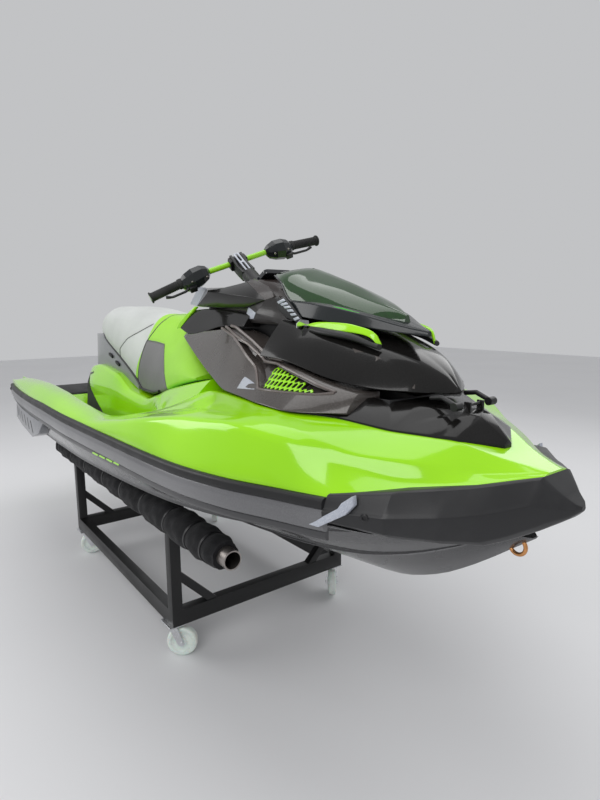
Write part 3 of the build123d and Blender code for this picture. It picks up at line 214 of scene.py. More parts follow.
def round_rect(width, height, radius, steps=5):
    """Outline of a rectangle about the origin with quarter circles at its corners."""
    a = np.linspace(0, pi / 2, steps)
    arc = np.stack([np.cos(a), np.sin(a)], -1) * radius
    parts = []
    for quarter, (sx, sy) in enumerate([(1, 1), (-1, 1), (-1, -1), (1, -1)]):
        c, s = cos(quarter * pi / 2), sin(quarter * pi / 2)
        turned = np.stack([arc[:, 0] * c - arc[:, 1] * s, arc[:, 0] * s + arc[:, 1] * c], -1)
        parts.append(turned + [sx * (width / 2 - radius), sy * (height / 2 - radius)])
    return np.concatenate(parts)


def box_shape(x0, x1, y0, y1, z0, z1):
    """Six faces between six planes."""
    points, faces = plate([(x0, y0), (x1, y0), (x1, y1), (x0, y1)], z1 - z0)
    return points + [0, 0, z0], faces


def across(outline_xz, half_width):
    """Prism across the boat from a side view outline in X and Z."""
    points, faces = plate(outline_xz, 2 * half_width)
    return np.stack([points[:, 0], half_width - points[:, 2], points[:, 1]], -1), faces


def wedge_above(slope_points, top=1600, half=900):
    """Everything above a line of side view points."""
    return across(slope_points + [(slope_points[-1][0], top), (slope_points[0][0], top)], half)


def corners_of(columns, *pairs):
    """Corner array from pairs of columns or numbers: (stations, corners, 2)."""
    size = len(columns)
    return np.stack([np.stack([np.broadcast_to(p, (size,)) for p in pair], -1) for pair in pairs], 1)


def placed(shape, origin, x_dir, z_dir):
    """The shape with its own X and Z turned to two directions and its origin moved."""
    z = np.array(z_dir, float) / np.linalg.norm(z_dir)
    x = np.array(x_dir, float)
    x = x - (x @ z) * z
    x /= np.linalg.norm(x)
    turn = np.stack([x, np.cross(z, x), z])
    return np.asarray(shape[0]) @ turn + np.asarray(origin, float), shape[1]


def joined(*shapes):
    """Several shapes as one."""
    points, faces, base = [], [], 0
    for p, f in shapes:
        points.append(np.asarray(p, float))
        faces.extend(tuple(int(k) + base for k in face) for face in f)
        base += len(p)
    return np.concatenate(points), faces


def flipped(shape):
    """The shape mirrored to the other side, with its faces turned back outwards."""
    return np.asarray(shape[0]) * [1, -1, 1], [tuple(reversed(f)) for f in shape[1]]


def both(shape):
    """The shape and its mirror image on the other side."""
    return joined(shape, flipped(shape))


def shell_of(points, faces, shift):
    """Closed body from an open sheet: the sheet, its copy moved by shift and a wall along each open edge."""
    points = np.asarray(points, float)
    n = len(points)
    faces = [tuple(int(k) for k in face) for face in faces]
    edges = {(a, b) for face in faces for a, b in zip(face, face[1:] + face[:1])}
    walls = [(b, a, a + n, b + n) for a, b in sorted(edges) if (b, a) not in edges]
    inner = [tuple(k + n for k in reversed(face)) for face in faces]
    return np.concatenate([points, points + np.asarray(shift, float)]), faces + inner + walls


def both_plates(corners, faces, shift):
    """Flat facets given as (x, half breadth, z), with a back moved by shift, on both sides."""
    return both(shell_of(corners, faces, shift))


def screw_shape(radius, height):
    """Pan head on z = 0 with a six-sided socket sunk in it."""
    a = full_turn(SCREW_SIDES)
    socket = radius * 0.5 * cos(pi / 6) / np.cos(a % (pi / 3) - pi / 6)
    rings = [(radius, 0.0), (radius, height * 0.45), (radius * 0.86, height * 0.85), (radius * 0.66, height),
             (socket, height), (socket, height * 0.35)]
    points = np.concatenate([np.c_[r * np.cos(a), r * np.sin(a), np.full(SCREW_SIDES, z)] for r, z in rings])
    count = len(points)
    ends = [tuple(reversed(range(SCREW_SIDES))), tuple(range(count - SCREW_SIDES, count))]
    return points, ring_faces(len(rings), SCREW_SIDES) + ends


# Meshes and pieces

def make_mesh(name, shape):
    """Mesh from a shape in millimetres, with doubles merged and faces turned outwards."""
    mesh = bpy.data.meshes.new(name)
    faces = [tuple(int(k) for k in face) for face in shape[1]]
    mesh.from_pydata((np.asarray(shape[0]) * MM).tolist(), [], faces)
    mesh.validate()
    made = bmesh.new()
    made.from_mesh(mesh)
    bmesh.ops.remove_doubles(made, verts=made.verts, dist=MERGE_DISTANCE)
    bmesh.ops.recalc_face_normals(made, faces=made.faces)
    made.to_mesh(mesh)
    made.free()
    return mesh


def new_object(name, data):
    made = bpy.data.objects.new(name, data)
    SCENE.collection.objects.link(made)
    return made


def bake_modifiers(made):
    """The mesh as its modifiers leave it."""
    graph = bpy.context.evaluated_depsgraph_get()
    graph.update()
    baked = bpy.data.meshes.new_from_object(made.evaluated_get(graph))
    made.modifiers.clear()
    made.data = baked


def carve(made, cuts):
    """Exact boolean difference with each shape in turn."""
    helpers = []
    for number, shape in enumerate(cuts):
        helpers.append(new_object(f"cutter_{number}", make_mesh(f"cutter_{number}", shape)))
        cut = made.modifiers.new(f"cut_{number}", "BOOLEAN")
        cut.operation, cut.solver, cut.object = "DIFFERENCE", "EXACT", helpers[-1]
    bake_modifiers(made)
    for helper in helpers:
        bpy.data.objects.remove(helper)


def minus(shape, cuts):
    """The shape after exact boolean differences, again as points and faces in millimetres."""
    made = new_object("blank", make_mesh("blank", shape))
    carve(made, cuts)
    points = np.empty(len(made.data.vertices) * 3)
    made.data.vertices.foreach_get("co", points)
    faces = [tuple(face.vertices) for face in made.data.polygons]
    bpy.data.objects.remove(made)
    return points.reshape(-1, 3) / MM, faces


def finished(made, material, body, replaces, crease, cuts, width, segments=2, angle=30):
    """The object cut, its edges rounded over a width in millimetres, smoothed, and riding on its body."""
    made.data.materials.append(material)
    if cuts:
        carve(made, cuts)
    if width:
        edges = made.modifiers.new("edges", "BEVEL")
        edges.width, edges.segments, edges.limit_method = width * MM, segments, "ANGLE"
        edges.angle_limit = radians(angle)
        bake_modifiers(made)
    made.data.shade_smooth()
    made.data.set_sharp_from_angle(angle=radians(crease))
    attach(made, body)
    if replaces:
        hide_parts(*replaces)
    return made


def piece(name, shape, material, body, slot, replaces=(), crease=34.0, bevel=0.0, cuts=()):
    """One finished object from a shape. Cuts are shapes taken out of it with a boolean."""
    made = new_object(name, make_mesh(name, shape))
    return finished(made, material, body, replaces, crease, cuts, bevel)


def eased(name, material, body, slot, width=2.0, segments=2, label=None, cuts=()):
    """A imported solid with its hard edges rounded: its mesh is copied, merged and made of whole faces
    first."""
    made = bmesh.new()
    made.from_mesh(NODES[name].data)
    bmesh.ops.remove_doubles(made, verts=made.verts, dist=MERGE_DISTANCE)
    bmesh.ops.dissolve_limit(made, angle_limit=radians(1), verts=made.verts, edges=made.edges)
    mesh = bpy.data.meshes.new(label or name + "_skin")
    made.to_mesh(mesh)
    made.free()
    mesh.materials.clear()
    finished(new_object(mesh.name, mesh), material, body, [name], 34.0, cuts, width, segments, 32)


# Finishes

def feed(tree, made, values):
    """Sets a node's sockets, each from a constant or from the output of another node."""
    for key, value in values.items():
        if isinstance(value, bpy.types.NodeSocket):
            tree.links.new(value, made.inputs[key])
        else:
            made.inputs[key].default_value = value


def node(tree, kind, values=None):
    made = tree.nodes.new(kind)
    feed(tree, made, values or {})
    return made


def math(tree, operation, *values):
    made = node(tree, "ShaderNodeMath", dict(enumerate(values)))
    made.operation = operation
    return made.outputs[0]


def blank(name):
    """New material: its tree, its surface shader and the Object coordinates."""
    material = bpy.data.materials.new(name)
    material.use_nodes = True
    tree = material.node_tree
    shader = tree.nodes["Principled BSDF"]
    place = node(tree, "ShaderNodeTexCoord").outputs["Object"]
    return material, tree, shader, place


def mix_colour(tree, factor, a, b):
    """Colour from a to b. Constant colours are given without alpha."""
    made = tree.nodes.new("ShaderNodeMix")
    made.data_type = "RGBA"
    ends = [value if isinstance(value, bpy.types.NodeSocket) else (*value, 1.0) for value in (a, b)]
    feed(tree, made, {0: factor, 6: ends[0], 7: ends[1]})
    return made.outputs[2]


def noise(tree, place, scale, detail=3.0, rough=0.5, stretch=None):
    if stretch:
        place = node(tree, "ShaderNodeMapping", {"Vector": place, "Scale": stretch}).outputs[0]
    values = {"Vector": place, "Scale": scale, "Detail": detail, "Roughness": rough}
    return node(tree, "ShaderNodeTexNoise", values).outputs[0]


def cells(tree, place, scale, output="Distance"):
    return node(tree, "ShaderNodeTexVoronoi", {"Vector": place, "Scale": scale}).outputs[output]


def axes(tree, place):
    return node(tree, "ShaderNodeSeparateXYZ", {"Vector": place}).outputs


def ramp(tree, value, low, high, to_low=0.0, to_high=1.0):
    values = {"Value": value, "From Min": low, "From Max": high, "To Min": to_low, "To Max": to_high}
    return node(tree, "ShaderNodeMapRange", values).outputs[0]


def bump(tree, shader, height, distance, strength=1.0):
    made = node(tree, "ShaderNodeBump", {"Height": height, "Distance": distance, "Strength": strength})
    tree.links.new(made.outputs[0], shader.inputs["Normal"])


def paint(name, colour, other=None, roughness=0.12, coat=1.0, flake=0.0, metallic=0.0, specular=0.5):
    """Sprayed or moulded gloss: slow shade drift, fine metallic flake, dust-dulled patches and orange
    peel."""
    material, tree, shader, place = blank(name)
    other = other or tuple(c * 0.86 for c in colour)
    base = mix_colour(tree, ramp(tree, noise(tree, place, 2.2, 2.0), 0.35, 0.65), other, colour)
    if flake:
        flecks = cells(tree, place, 900.0, "Color")
        spark = node(tree, "ShaderNodeSeparateColor", {"Color": flecks}).outputs[0]
        bright = tuple(min(1, c * 2.2 + 0.08) for c in colour)
        base = mix_colour(tree, ramp(tree, spark, 0.6, 1.0, 0.0, flake), base, bright)
    dull = ramp(tree, noise(tree, place, 9.0, 4.0), 0.4, 0.75, roughness, roughness + 0.08)
    feed(tree, shader, {"Base Color": base, "Roughness": dull, "Metallic": metallic,
                        "Specular IOR Level": specular, "Coat Weight": coat, "Coat Roughness": 0.04})
    bump(tree, shader, noise(tree, place, 260.0, 2.0), 0.00012, 0.5)
    return material


def moulded(name, colour, roughness=0.5, grain=520.0, depth=0.00025, wear=0.05):
    """Injection moulded plastic: leathery cell grain, paler scuffs and slight shade drift."""
    material, tree, shader, place = blank(name)
    scuff = ramp(tree, noise(tree, place, 6.0, 6.0, 0.7), 0.55, 0.8)
    dark, pale = tuple(c * 0.82 for c in colour), tuple(min(1, c + wear) for c in colour)
    base = mix_colour(tree, ramp(tree, noise(tree, place, 3.0, 2.0), 0.3, 0.7), dark, colour)
    base = mix_colour(tree, math(tree, "MULTIPLY", scuff, 0.6), base, pale)
    rough = ramp(tree, noise(tree, place, 14.0, 3.0), 0.3, 0.7, roughness - 0.06, roughness + 0.08)
    feed(tree, shader, {"Base Color": base, "Roughness": rough})
    bump(tree, shader, cells(tree, place, grain), depth, 0.6)
    return material


def metal(name, colour, roughness=0.35, brush=None, cast=0.0, stain=(0.25, 0.22, 0.18)):
    """Bare metal: brushed lines along one axis or a sandy cast skin, with darker handling stains."""
    material, tree, shader, place = blank(name)
    stains = ramp(tree, noise(tree, place, 11.0, 5.0, 0.65), 0.55, 0.85)
    base = mix_colour(tree, math(tree, "MULTIPLY", stains, 0.35), colour, stain)
    rough = ramp(tree, noise(tree, place, 30.0, 4.0), 0.3, 0.7, roughness - 0.08, roughness + 0.12)
    feed(tree, shader, {"Base Color": base, "Roughness": rough, "Metallic": 1.0})
    if brush:
        bump(tree, shader, noise(tree, place, 60.0, 3.0, 0.6, brush), 0.00015, 0.5)
    if cast:
        bump(tree, shader, noise(tree, place, 420.0, 4.0, 0.7), cast, 0.8)
    return material


def rubber(name, colour):
    """Soft rubber: dusty bloom and a fine pebbled skin."""
    material, tree, shader, place = blank(name)
    bloom = ramp(tree, noise(tree, place, 8.0, 5.0, 0.65), 0.45, 0.85)
    dusty = tuple(c + 0.07 for c in colour)
    base = mix_colour(tree, math(tree, "MULTIPLY", bloom, 0.4), colour, dusty)
    feed(tree, shader, {"Base Color": base, "Roughness": 0.75})
    bump(tree, shader, noise(tree, place, 700.0, 2.0), 0.0002, 0.6)
    return material


def half_plane(tree, x, z, a, b, soft=0.0015):
    """1 on the left of the line from a to b in the side view, 0 on its right, both in millimetres."""
    ax, az, bx, bz = a[0] * MM, a[1] * MM, b[0] * MM, b[1] * MM
    length = sqrt((bx - ax)**2 + (bz - az)**2)
    nx, nz = -(bz - az) / length, (bx - ax) / length
    distance = math(tree, "ADD", math(tree, "MULTIPLY", x, nx), math(tree, "MULTIPLY", z, nz))
    distance = math(tree, "SUBTRACT", distance, ax * nx + az * nz)
    return ramp(tree, distance, -soft, soft)


def inside(tree, x, z, corners):
    """Product of the half planes of a convex outline that runs anticlockwise in the side view."""
    result = None
    for a, b in zip(corners, corners[1:] + corners[:1]):
        side = half_plane(tree, x, z, a, b)
        result = side if result is None else math(tree, "MULTIPLY", result, side)
    return result


SEAT_GREEN_EDGE = [(-226, 1300), (-306, 1120), (-352, 880)]
SEAT_INSERT = [(-354, 870), (95, 870), (85, 955), (-50, 1080), (-104, 1132), (-298, 1141), (-306, 1120)]


def upholstery():
    """Seat cover: pale grey aft, green forward and a mid-grey panel low on each side, with leather grain and
    a stretch sheen."""
    material, tree, shader, place = blank("seat_cover")
    x, _, z = axes(tree, place)
    upper, lower = (half_plane(tree, x, z, a, b) for a, b in zip(SEAT_GREEN_EDGE, SEAT_GREEN_EDGE[1:]))
    green = math(tree, "MAXIMUM", upper, lower)
    insert = inside(tree, x, z, SEAT_INSERT)
    tone = ramp(tree, noise(tree, place, 5.0, 3.0), 0.3, 0.7)
    grey = mix_colour(tree, tone, (0.50, 0.52, 0.50), (0.60, 0.62, 0.60))
    lime = mix_colour(tree, tone, (0.28, 0.64, 0.006), (0.34, 0.74, 0.012))
    panel = mix_colour(tree, tone, (0.115, 0.110, 0.116), (0.150, 0.144, 0.150))
    base = mix_colour(tree, insert, mix_colour(tree, green, grey, lime), panel)
    feed(tree, shader, {"Base Color": base, "Roughness": 0.48, "Sheen Weight": 0.15})
    grain = math(tree, "MULTIPLY", cells(tree, place, 420.0), 0.35)
    folds = math(tree, "MULTIPLY", noise(tree, place, 26.0, 3.0), 1.6)
    bump(tree, shader, math(tree, "ADD", grain, folds), 0.0008, 0.55)
    return material


def ribbed_mat():
    """Traction foam: moulded diamond pyramids with straight grooves between the strips."""
    material, tree, shader, place = blank("traction_mat")
    x, y, _ = axes(tree, place)
    waves = (math(tree, "MULTIPLY", math(tree, way, x, y), 330.0) for way in ("ADD", "SUBTRACT"))
    one, two = (math(tree, "SINE", wave) for wave in waves)
    groove = math(tree, "SINE", math(tree, "MULTIPLY", y, 190.0))
    diamond = math(tree, "MULTIPLY", math(tree, "MULTIPLY", one, two), 0.5)
    height = math(tree, "ADD", diamond, math(tree, "GREATER_THAN", groove, -0.9))
    shade = ramp(tree, noise(tree, place, 12.0, 4.0), 0.3, 0.8)
    feed(tree, shader, {"Base Color": mix_colour(tree, shade, (0.012, 0.012, 0.013), (0.045, 0.045, 0.048)),
                        "Roughness": 0.85})
    bump(tree, shader, height, 0.0012, 0.8)
    return material


def woven():
    """Black nylon wrapping: plain weave of warp and weft, dusty folds."""
    material, tree, shader, place = blank("bunk_wrapping")
    x, y, z = axes(tree, place)
    warp = math(tree, "SINE", math(tree, "MULTIPLY", x, 2200.0))
    weft = math(tree, "SINE", math(tree, "MULTIPLY", math(tree, "ADD", y, z), 2200.0))
    dust = ramp(tree, noise(tree, place, 7.0, 6.0, 0.7), 0.4, 0.8)
    feed(tree, shader, {"Base Color": mix_colour(tree, dust, (0.006, 0.006, 0.007), (0.020, 0.020, 0.022)),
                        "Roughness": 0.82, "Sheen Weight": 0.05, "Specular IOR Level": 0.25})
    weave = math(tree, "MULTIPLY", math(tree, "MULTIPLY", warp, weft), 0.25)
    folds = math(tree, "MULTIPLY", noise(tree, place, 34.0, 4.0), 2.0)
    bump(tree, shader, math(tree, "ADD", weave, folds), 0.0014, 0.7)
    return material


def tinted(name, colour, alpha):
    """Tinted acrylic with faint wipe marks."""
    material, tree, shader, place = blank(name)
    marks = noise(tree, place, 18.0, 4.0, 0.6, (1.0, 6.0, 1.0))
    dark = tuple(c * 0.8 for c in colour)
    feed(tree, shader, {"Roughness": ramp(tree, marks, 0.3, 0.8, 0.03, 0.12), "Alpha": alpha,
                        "Base Color": mix_colour(tree, ramp(tree, marks, 0.3, 0.7), dark, colour),
                        "Coat Weight": 0.6, "Coat Roughness": 0.03})
    return material


def pale_nylon():
    """Pale wheel nylon, milky, with scuffs on the tread."""
    material, tree, shader, place = blank("wheel_nylon")
    scuff = ramp(tree, noise(tree, place, 40.0, 5.0, 0.7), 0.5, 0.8)
    feed(tree, shader, {"Base Color": mix_colour(tree, scuff, (0.72, 0.80, 0.75), (0.50, 0.53, 0.50)),
                        "Roughness": 0.32, "Subsurface Weight": 0.15})
    bump(tree, shader, noise(tree, place, 160.0, 3.0), 0.0003, 0.4)
    return material


# paint: name, colour, darker shade, roughness, coat, flake, metallic
# moulded: name, colour, roughness, grain, depth, wear
# metal: name, colour, roughness, brush stretch, cast depth. tinted: name, colour, alpha
LIME = paint("deck_gel_coat", (0.36, 0.80, 0.004), (0.31, 0.72, 0.003), 0.10, 0.5, specular=0.35)
LIME_TUBE = paint("bar_paint", (0.33, 0.76, 0.010), None, 0.2, 0.5)
HULL_SIDE = paint("hull_gel_coat", (0.036, 0.036, 0.039), (0.028, 0.028, 0.030), 0.24, 0.5, 0.25,
                  specular=0.4)
GLOSS_BLACK = paint("hood_paint", (0.008, 0.0074, 0.007), (0.006, 0.0056, 0.0053), 0.15, 0.25, 0.05,
                    specular=0.2)
VISOR_BLACK = paint("visor_paint", (0.016, 0.019, 0.021), (0.012, 0.014, 0.015), 0.2, 0.25, 0.06,
                    specular=0.25)
GRAPHITE = paint("panel_graphite", (0.066, 0.056, 0.051), (0.045, 0.038, 0.034), 0.26, 0.5, 0.3, 0.2,
                 specular=0.4)
WING_GREY = paint("console_graphite", (0.020, 0.0178, 0.017), (0.015, 0.0133, 0.0127), 0.28, 0.3, 0.3,
                  specular=0.35)
UMBER = paint("rim_umber", (0.12, 0.094, 0.085), (0.090, 0.072, 0.066), 0.28, 0.5, 0.3)
DARK_UMBER = paint("brow_umber", (0.026, 0.018, 0.016), (0.020, 0.014, 0.013), 0.26, 0.2, 0.1, specular=0.25)
SILVER = paint("silver_trim", (0.42, 0.45, 0.52), None, 0.26, 0.4, 0.3)
SPONSON_GREY = paint("sponson_coat", (0.22, 0.225, 0.24), None, 0.32, 0.3, 0.3)
RAIL_BLACK = moulded("rail_rubber", (0.006, 0.006, 0.007), 0.45, 380.0, 0.0002, 0.015)
RAIL_SATIN = paint("rail_satin", (0.15, 0.15, 0.158), (0.11, 0.11, 0.116), 0.30, 0.3, 0.15)
# The rail's satin grey painted darker for its lower lip: painted shade where the lip faces down
RAIL_LOWER_SHADE = paint("rail_lower_painted_shade", (0.040, 0.040, 0.043), None, 0.34, 0.3)
BUMPER = moulded("bumper_moulded", (0.013, 0.013, 0.0145), 0.38, 420.0, 0.00018, 0.012)
TRIM_BLACK = moulded("moulded_black", (0.008, 0.008, 0.009), 0.42, 520.0, 0.00025, 0.02)
TRIM_GREY = paint("trim_grey", (0.20, 0.205, 0.22), None, 0.30, 0.4, 0.2)
MAT = ribbed_mat()
COVER = upholstery()
WRAP = woven()
SCREEN_TINT = tinted("screen_tint", (0.006, 0.050, 0.003), 0.93)
# Painted light: the glow of the tinted windscreen, given as a bright green paint with no lamp
PAINTED_GLOW_GREEN = paint("screen_painted_glow", (0.03, 0.42, 0.01), None, 0.2, 0.5)
DARK_GLASS = tinted("gauge_glass", (0.01, 0.012, 0.015), 1.0)
STEEL = metal("plain_steel", (0.36, 0.33, 0.31), 0.38, (1.0, 14.0, 14.0), stain=(0.12, 0.06, 0.03))
ZINC = metal("zinc_plate", (0.66, 0.67, 0.69), 0.3, None, 0.0001)
CAST = metal("cast_alloy", (0.55, 0.56, 0.58), 0.42, None, 0.0003)
BRONZE = metal("eye_metal", (0.62, 0.30, 0.12), 0.3, None, 0.0001)
MIRROR = metal("mirror_face", (0.85, 0.86, 0.88), 0.1)
FRAME_BLACK = paint("frame_paint", (0.008, 0.008, 0.0085), (0.006, 0.006, 0.006), 0.40, 0.1, specular=0.35)
GRIP = rubber("grip_rubber", (0.014, 0.014, 0.014))
NYLON = pale_nylon()


# Camera, floor and light

def set_camera():
    """Pinhole fitted to the photograph: place, heading, dip, roll and focal length in pixels of its
    height."""
    place = Vector((2.170, -1.150, 1.277))
    heading, dip, roll, focal = radians(52.64), radians(9.357), radians(-0.298), 546.0
    photo_height, sensor = 800, 36.0
    back = Vector((sin(heading) * cos(dip), -cos(heading) * cos(dip), sin(dip)))
    right = (-back).cross(Vector((0, 0, 1))).normalized()
    up = right.cross(-back)
    level, above = cos(roll) * right + sin(roll) * up, cos(roll) * up - sin(roll) * right
    camera = bpy.data.cameras.new("camera")
    camera.sensor_width, camera.sensor_fit = sensor, "AUTO"
    camera.lens = focal / photo_height * sensor
    camera.clip_start, camera.clip_end = 0.05, 60
    SCENE.camera = new_object("camera", camera)
    SCENE.camera.matrix_world = Matrix.Translation(place) @ Matrix((level, above, back)).transposed().to_4x4()


# Place, side of the square and watts
LAMPS = [
    ((3.2, -3.4, 3.6), 2.6, 75), ((-2.6, -3.2, 3.2), 2.4, 50), ((0.5, 3.6, 3.4), 2.6, 35),
    ((0.0, 0.0, 4.6), 3.0, 45),
]
LAMP_TARGET = Vector((0, 0, 0.7))
FLOOR_REACH = 14


def set_stage():
    """Pale floor, pale surroundings for the camera and for reflections alike, and four soft lamps."""
    mesh = bpy.data.meshes.new("floor")
    corners = [(FLOOR_REACH * u, FLOOR_REACH * v, 0) for u, v in ((-1, -1), (1, -1), (1, 1), (-1, 1))]
    mesh.from_pydata(corners, [], [(0, 1, 2, 3)])
    floor = new_object("floor", mesh)
    material, tree, shader, place = blank("floor_pale")
    shade = mix_colour(tree, noise(tree, place, 0.8, 2.0), (0.72, 0.72, 0.73), (0.78, 0.78, 0.79))
    feed(tree, shader, {"Base Color": shade, "Roughness": 0.55})
    floor.data.materials.append(material)
    SCENE.world = bpy.data.worlds.new("studio")
    SCENE.world.use_nodes = True
    tree = SCENE.world.node_tree
    feed(tree, tree.nodes["Background"], {"Color": (0.93, 0.94, 0.96, 1), "Strength": 0.58})
    for number, (spot, size, power) in enumerate(LAMPS):
        data = bpy.data.lights.new(f"soft_{number}", "AREA")
        data.shape, data.size, data.energy = "SQUARE", size, power
        lamp = new_object(f"soft_{number}", data)
        lamp.location = spot
        lamp.rotation_euler = (LAMP_TARGET - Vector(spot)).to_track_quat("-Z", "Y").to_euler()
    SCENE.view_settings.view_transform = "Standard"


set_camera()
set_stage()

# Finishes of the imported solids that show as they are
KEPT = {
    "jet_pump": CAST, "steering_nozzle": CAST, "impeller": STEEL, "tow_eyes": BRONZE, "bunk_tubes": STEEL,
    "grab_handle": TRIM_BLACK, "mirror_glass": MIRROR, "handlebar": LIME_TUBE,
}
for place in ("front_starboard", "front_port", "rear_starboard", "rear_port"):
    KEPT["caster_fork_" + place] = ZINC
for name, material in KEPT.items():
    NODES[name].data.materials.clear()
    NODES[name].data.materials.append(material)


# Hull and deck

# x, keel z, strake y and z, chine y and z, half breadth at the rail
HULL = [
    (-1560, 480, 250, 566, 492, 668, 539), (-1400, 477, 256, 564, 505, 668, 558),
    (-1100, 472, 264, 563, 520, 670, 583), (-800, 467, 268, 561, 530, 673, 600),
    (-500, 462, 270, 560, 535, 676, 610), (-200, 459, 270, 560, 535, 680, 612),
    (100, 458, 264, 562, 524, 685, 602), (350, 459, 255, 566, 508, 690, 590),
    (600, 463, 242, 574, 484, 697, 578), (800, 470, 222, 584, 448, 706, 562),
    (1000, 486, 192, 600, 392, 719, 520), (1150, 508, 160, 620, 330, 734, 463),
    (1280, 558, 124, 656, 262, 752, 413), (1400, 634, 84, 706, 178, 774, 345),
    (1500, 712, 46, 756, 104, 792, 230), (1556, 756, 22, 778, 56, 800, 148),
]
# x, half breadth at the rail, then y and z of the fender's crest, of the band inside it and of the shelf
DECK = [
    (-1655.5, 528, 508, 846, 480, 850, 440, 848), (-1400, 558, 520, 880, 480, 885, 450, 880),
    (-1100, 583, 530, 897, 490, 902, 460, 897), (-800, 600, 540, 908, 500, 912, 470, 908),
    (-500, 610, 548, 905, 510, 910, 480, 905), (-200, 612, 560, 892, 525, 897, 490, 892),
    (100, 602, 565, 882, 530, 888, 480, 886), (350, 590, 560, 912, 470, 924, 380, 930),
    (600, 578, 540, 958, 425, 970, 315, 1020), (800, 562, 503, 984, 430, 1001, 338, 1026),
    (1000, 520, 475, 995, 425, 1010, 358, 1022), (1150, 463, 420, 972, 385, 993, 270, 1008),
    (1280, 413, 325, 924, 310, 950, 205, 988), (1400, 345, 245, 897, 210, 935, 120, 975),
    (1500, 230, 155, 903, 112, 918, 66, 945), (1590, 98, 50, 920, 36, 924, 20, 926),
]
# x, half breadth and height of the floor, half breadth at z = 1000
WELL = [
    (-1700, 440, 790, 450), (-1400, 440, 790, 470), (-1180, 440, 790, 475), (-1100, 425, 715, 480),
    (-500, 430, 715, 505), (-200, 430, 715, 522), (100, 420, 715, 540), (220, 395, 780, 520),
    (340, 330, 905, 420),
]
# x, half breadth at the foot, then y and z of the ridge and of the top edge
PEDESTAL = [
    (-1160, 185, 172, 862, 150, 925), (-1060, 235, 222, 876, 190, 966), (-900, 258, 246, 886, 200, 985),
    (-600, 264, 252, 888, 222, 968), (-350, 268, 258, 876, 236, 908), (-150, 276, 266, 862, 248, 898),
    (0, 290, 276, 872, 262, 927), (200, 350, 335, 892, 285, 979), (350, 385, 372, 922, 285, 1012),
    (540, 395, 380, 956, 280, 1050),
]
TUNNEL_SIDE = [
    (-1600, 380), (-560, 380), (-560, 430), (-860, 610), (-1080, 672), (-1270, 672), (-1300, 766),
    (-1600, 766),
]
BAY = box_shape(-700, 100, -160, 160, 520, 1200)
BIN_HOLE = box_shape(839.7, 1230.3, -150.3, 150.3, 700, 1200)
BOW_CUT = [(1280, 800), (1400, 786), (1553, 758), (1639, 827), (1700, 863), (1700, 1000), (1280, 1000)]
NOSE_CUT = [
    (1280, 862), (1400, 890), (1500, 900), (1590, 919), (1638, 895), (1700, 860), (1700, 600), (1280, 600),
]
# Upper limit of the black lining on the pedestal's side
LINING_TOP = [(-1400, 965), (-1120, 940), (-1075, 926), (-828, 800), (-617, 717), (-400, 640)]
PEDESTAL_SLOT = [(-1040, 930), (-965, 944), (-958, 934), (-1033, 918)]
SKIN = 16.0


def hull_shape():
    """V bottom with a lifted strake each side and a chine flat: corners on the keel, either side of the
    strake's lip, either side of the chine's lip, and up the side, carried along the rows of HULL."""
    x = stations_through(HULL, 45)
    keel, sy, sz, cy, cz, rail = read_rows(HULL, x).T
    fade = np.clip((1500 - x) / 500, 0.0, 1.0)
    side = rail - SKIN - 1
    half = corners_of(
        x, (0, keel), (sy - 26 * fade, sz - 10 * fade - 3), (sy + 2, sz - 7 * fade), (sy, sz + 3 * fade),
        (cy - 34 * fade, cz - 10 * fade - 2), (cy + 6 * fade, cz - 9 * fade), (cy + 4 * fade, cz + 4 * fade),
        (side, 795), (side, 838), (side - 6, 848), (0, 848))
    radii = [0, 6, 3, 5, 6, 3, 6, 16, 6, 0, 0]
    return skin(x, mirrored(soft_outline(half, radii, [3, 0, 0, 3, 0, 0, 4, 0, 0, 0], arc=2, side=4)))


def add_hull():
    stern_fall = wedge_above([(-1800, 806), (-500, 848), (1800, 848)])
    liner = across([(-1649, 776), (-1190, 776), (-1190, 700), (545, 700), (545, 900), (-1649, 900)], 455)
    piece("hull_skin", hull_shape(), HULL_SIDE, "craft", "hull_grey", ["hull"],
          cuts=[stern_fall, liner, across(TUNNEL_SIDE, 132), across(BOW_CUT, 600), BAY, BIN_HOLE])


def deck_shape():
    """Fender with a crowned face, a band and a shelf, as soft creases along the rows of DECK."""
    x = stations_through(DECK, 20)
    rail, crest_y, crest_z, band_y, band_z, shelf_y, shelf_z = read_rows(DECK, x).T
    side = rail - SKIN + 1
    half = corners_of(x, (0, 782), (side, 782), (side, 858), (crest_y, crest_z), (band_y, band_z),
                      (shelf_y, shelf_z), (0, shelf_z))
    return skin(x, mirrored(soft_outline(half, [0, 0, 10, 14, 8, 6, 0], [0, 0, 5, 1, 1, 0], arc=5, side=14)))


def well_shape():
    """The footwells and the space over the platform, as one solid to cut with."""
    x = stations_through(WELL, 40)
    floor_y, floor_z, top_y = read_rows(WELL, x).T
    half = corners_of(x, (0, floor_z), (floor_y, floor_z), (top_y, 1000), (0, 1000))
    return skin(x, mirrored(soft_outline(half, [0, 26, 0, 0], None, 5, 6)))


def pedestal_shape(x, floor, out, sunk, crown, dome):
    """Pedestal from its floor up with a round aft end, moved out at the sides and sunk at the top."""
    base_y, ridge_y, ridge_z, top_y, top_z = read_rows(PEDESTAL, x).T
    half = corners_of(x, (0, floor), (base_y + out, floor), (ridge_y + out, ridge_z),
                      (top_y + out, top_z - sunk), (0, top_z - sunk))
    outline = mirrored(soft_outline(half, [0, 0, 10, 16, 0], [0, 0, crown, 0], 5, 12))
    return skin(*domed(x, outline, dome))


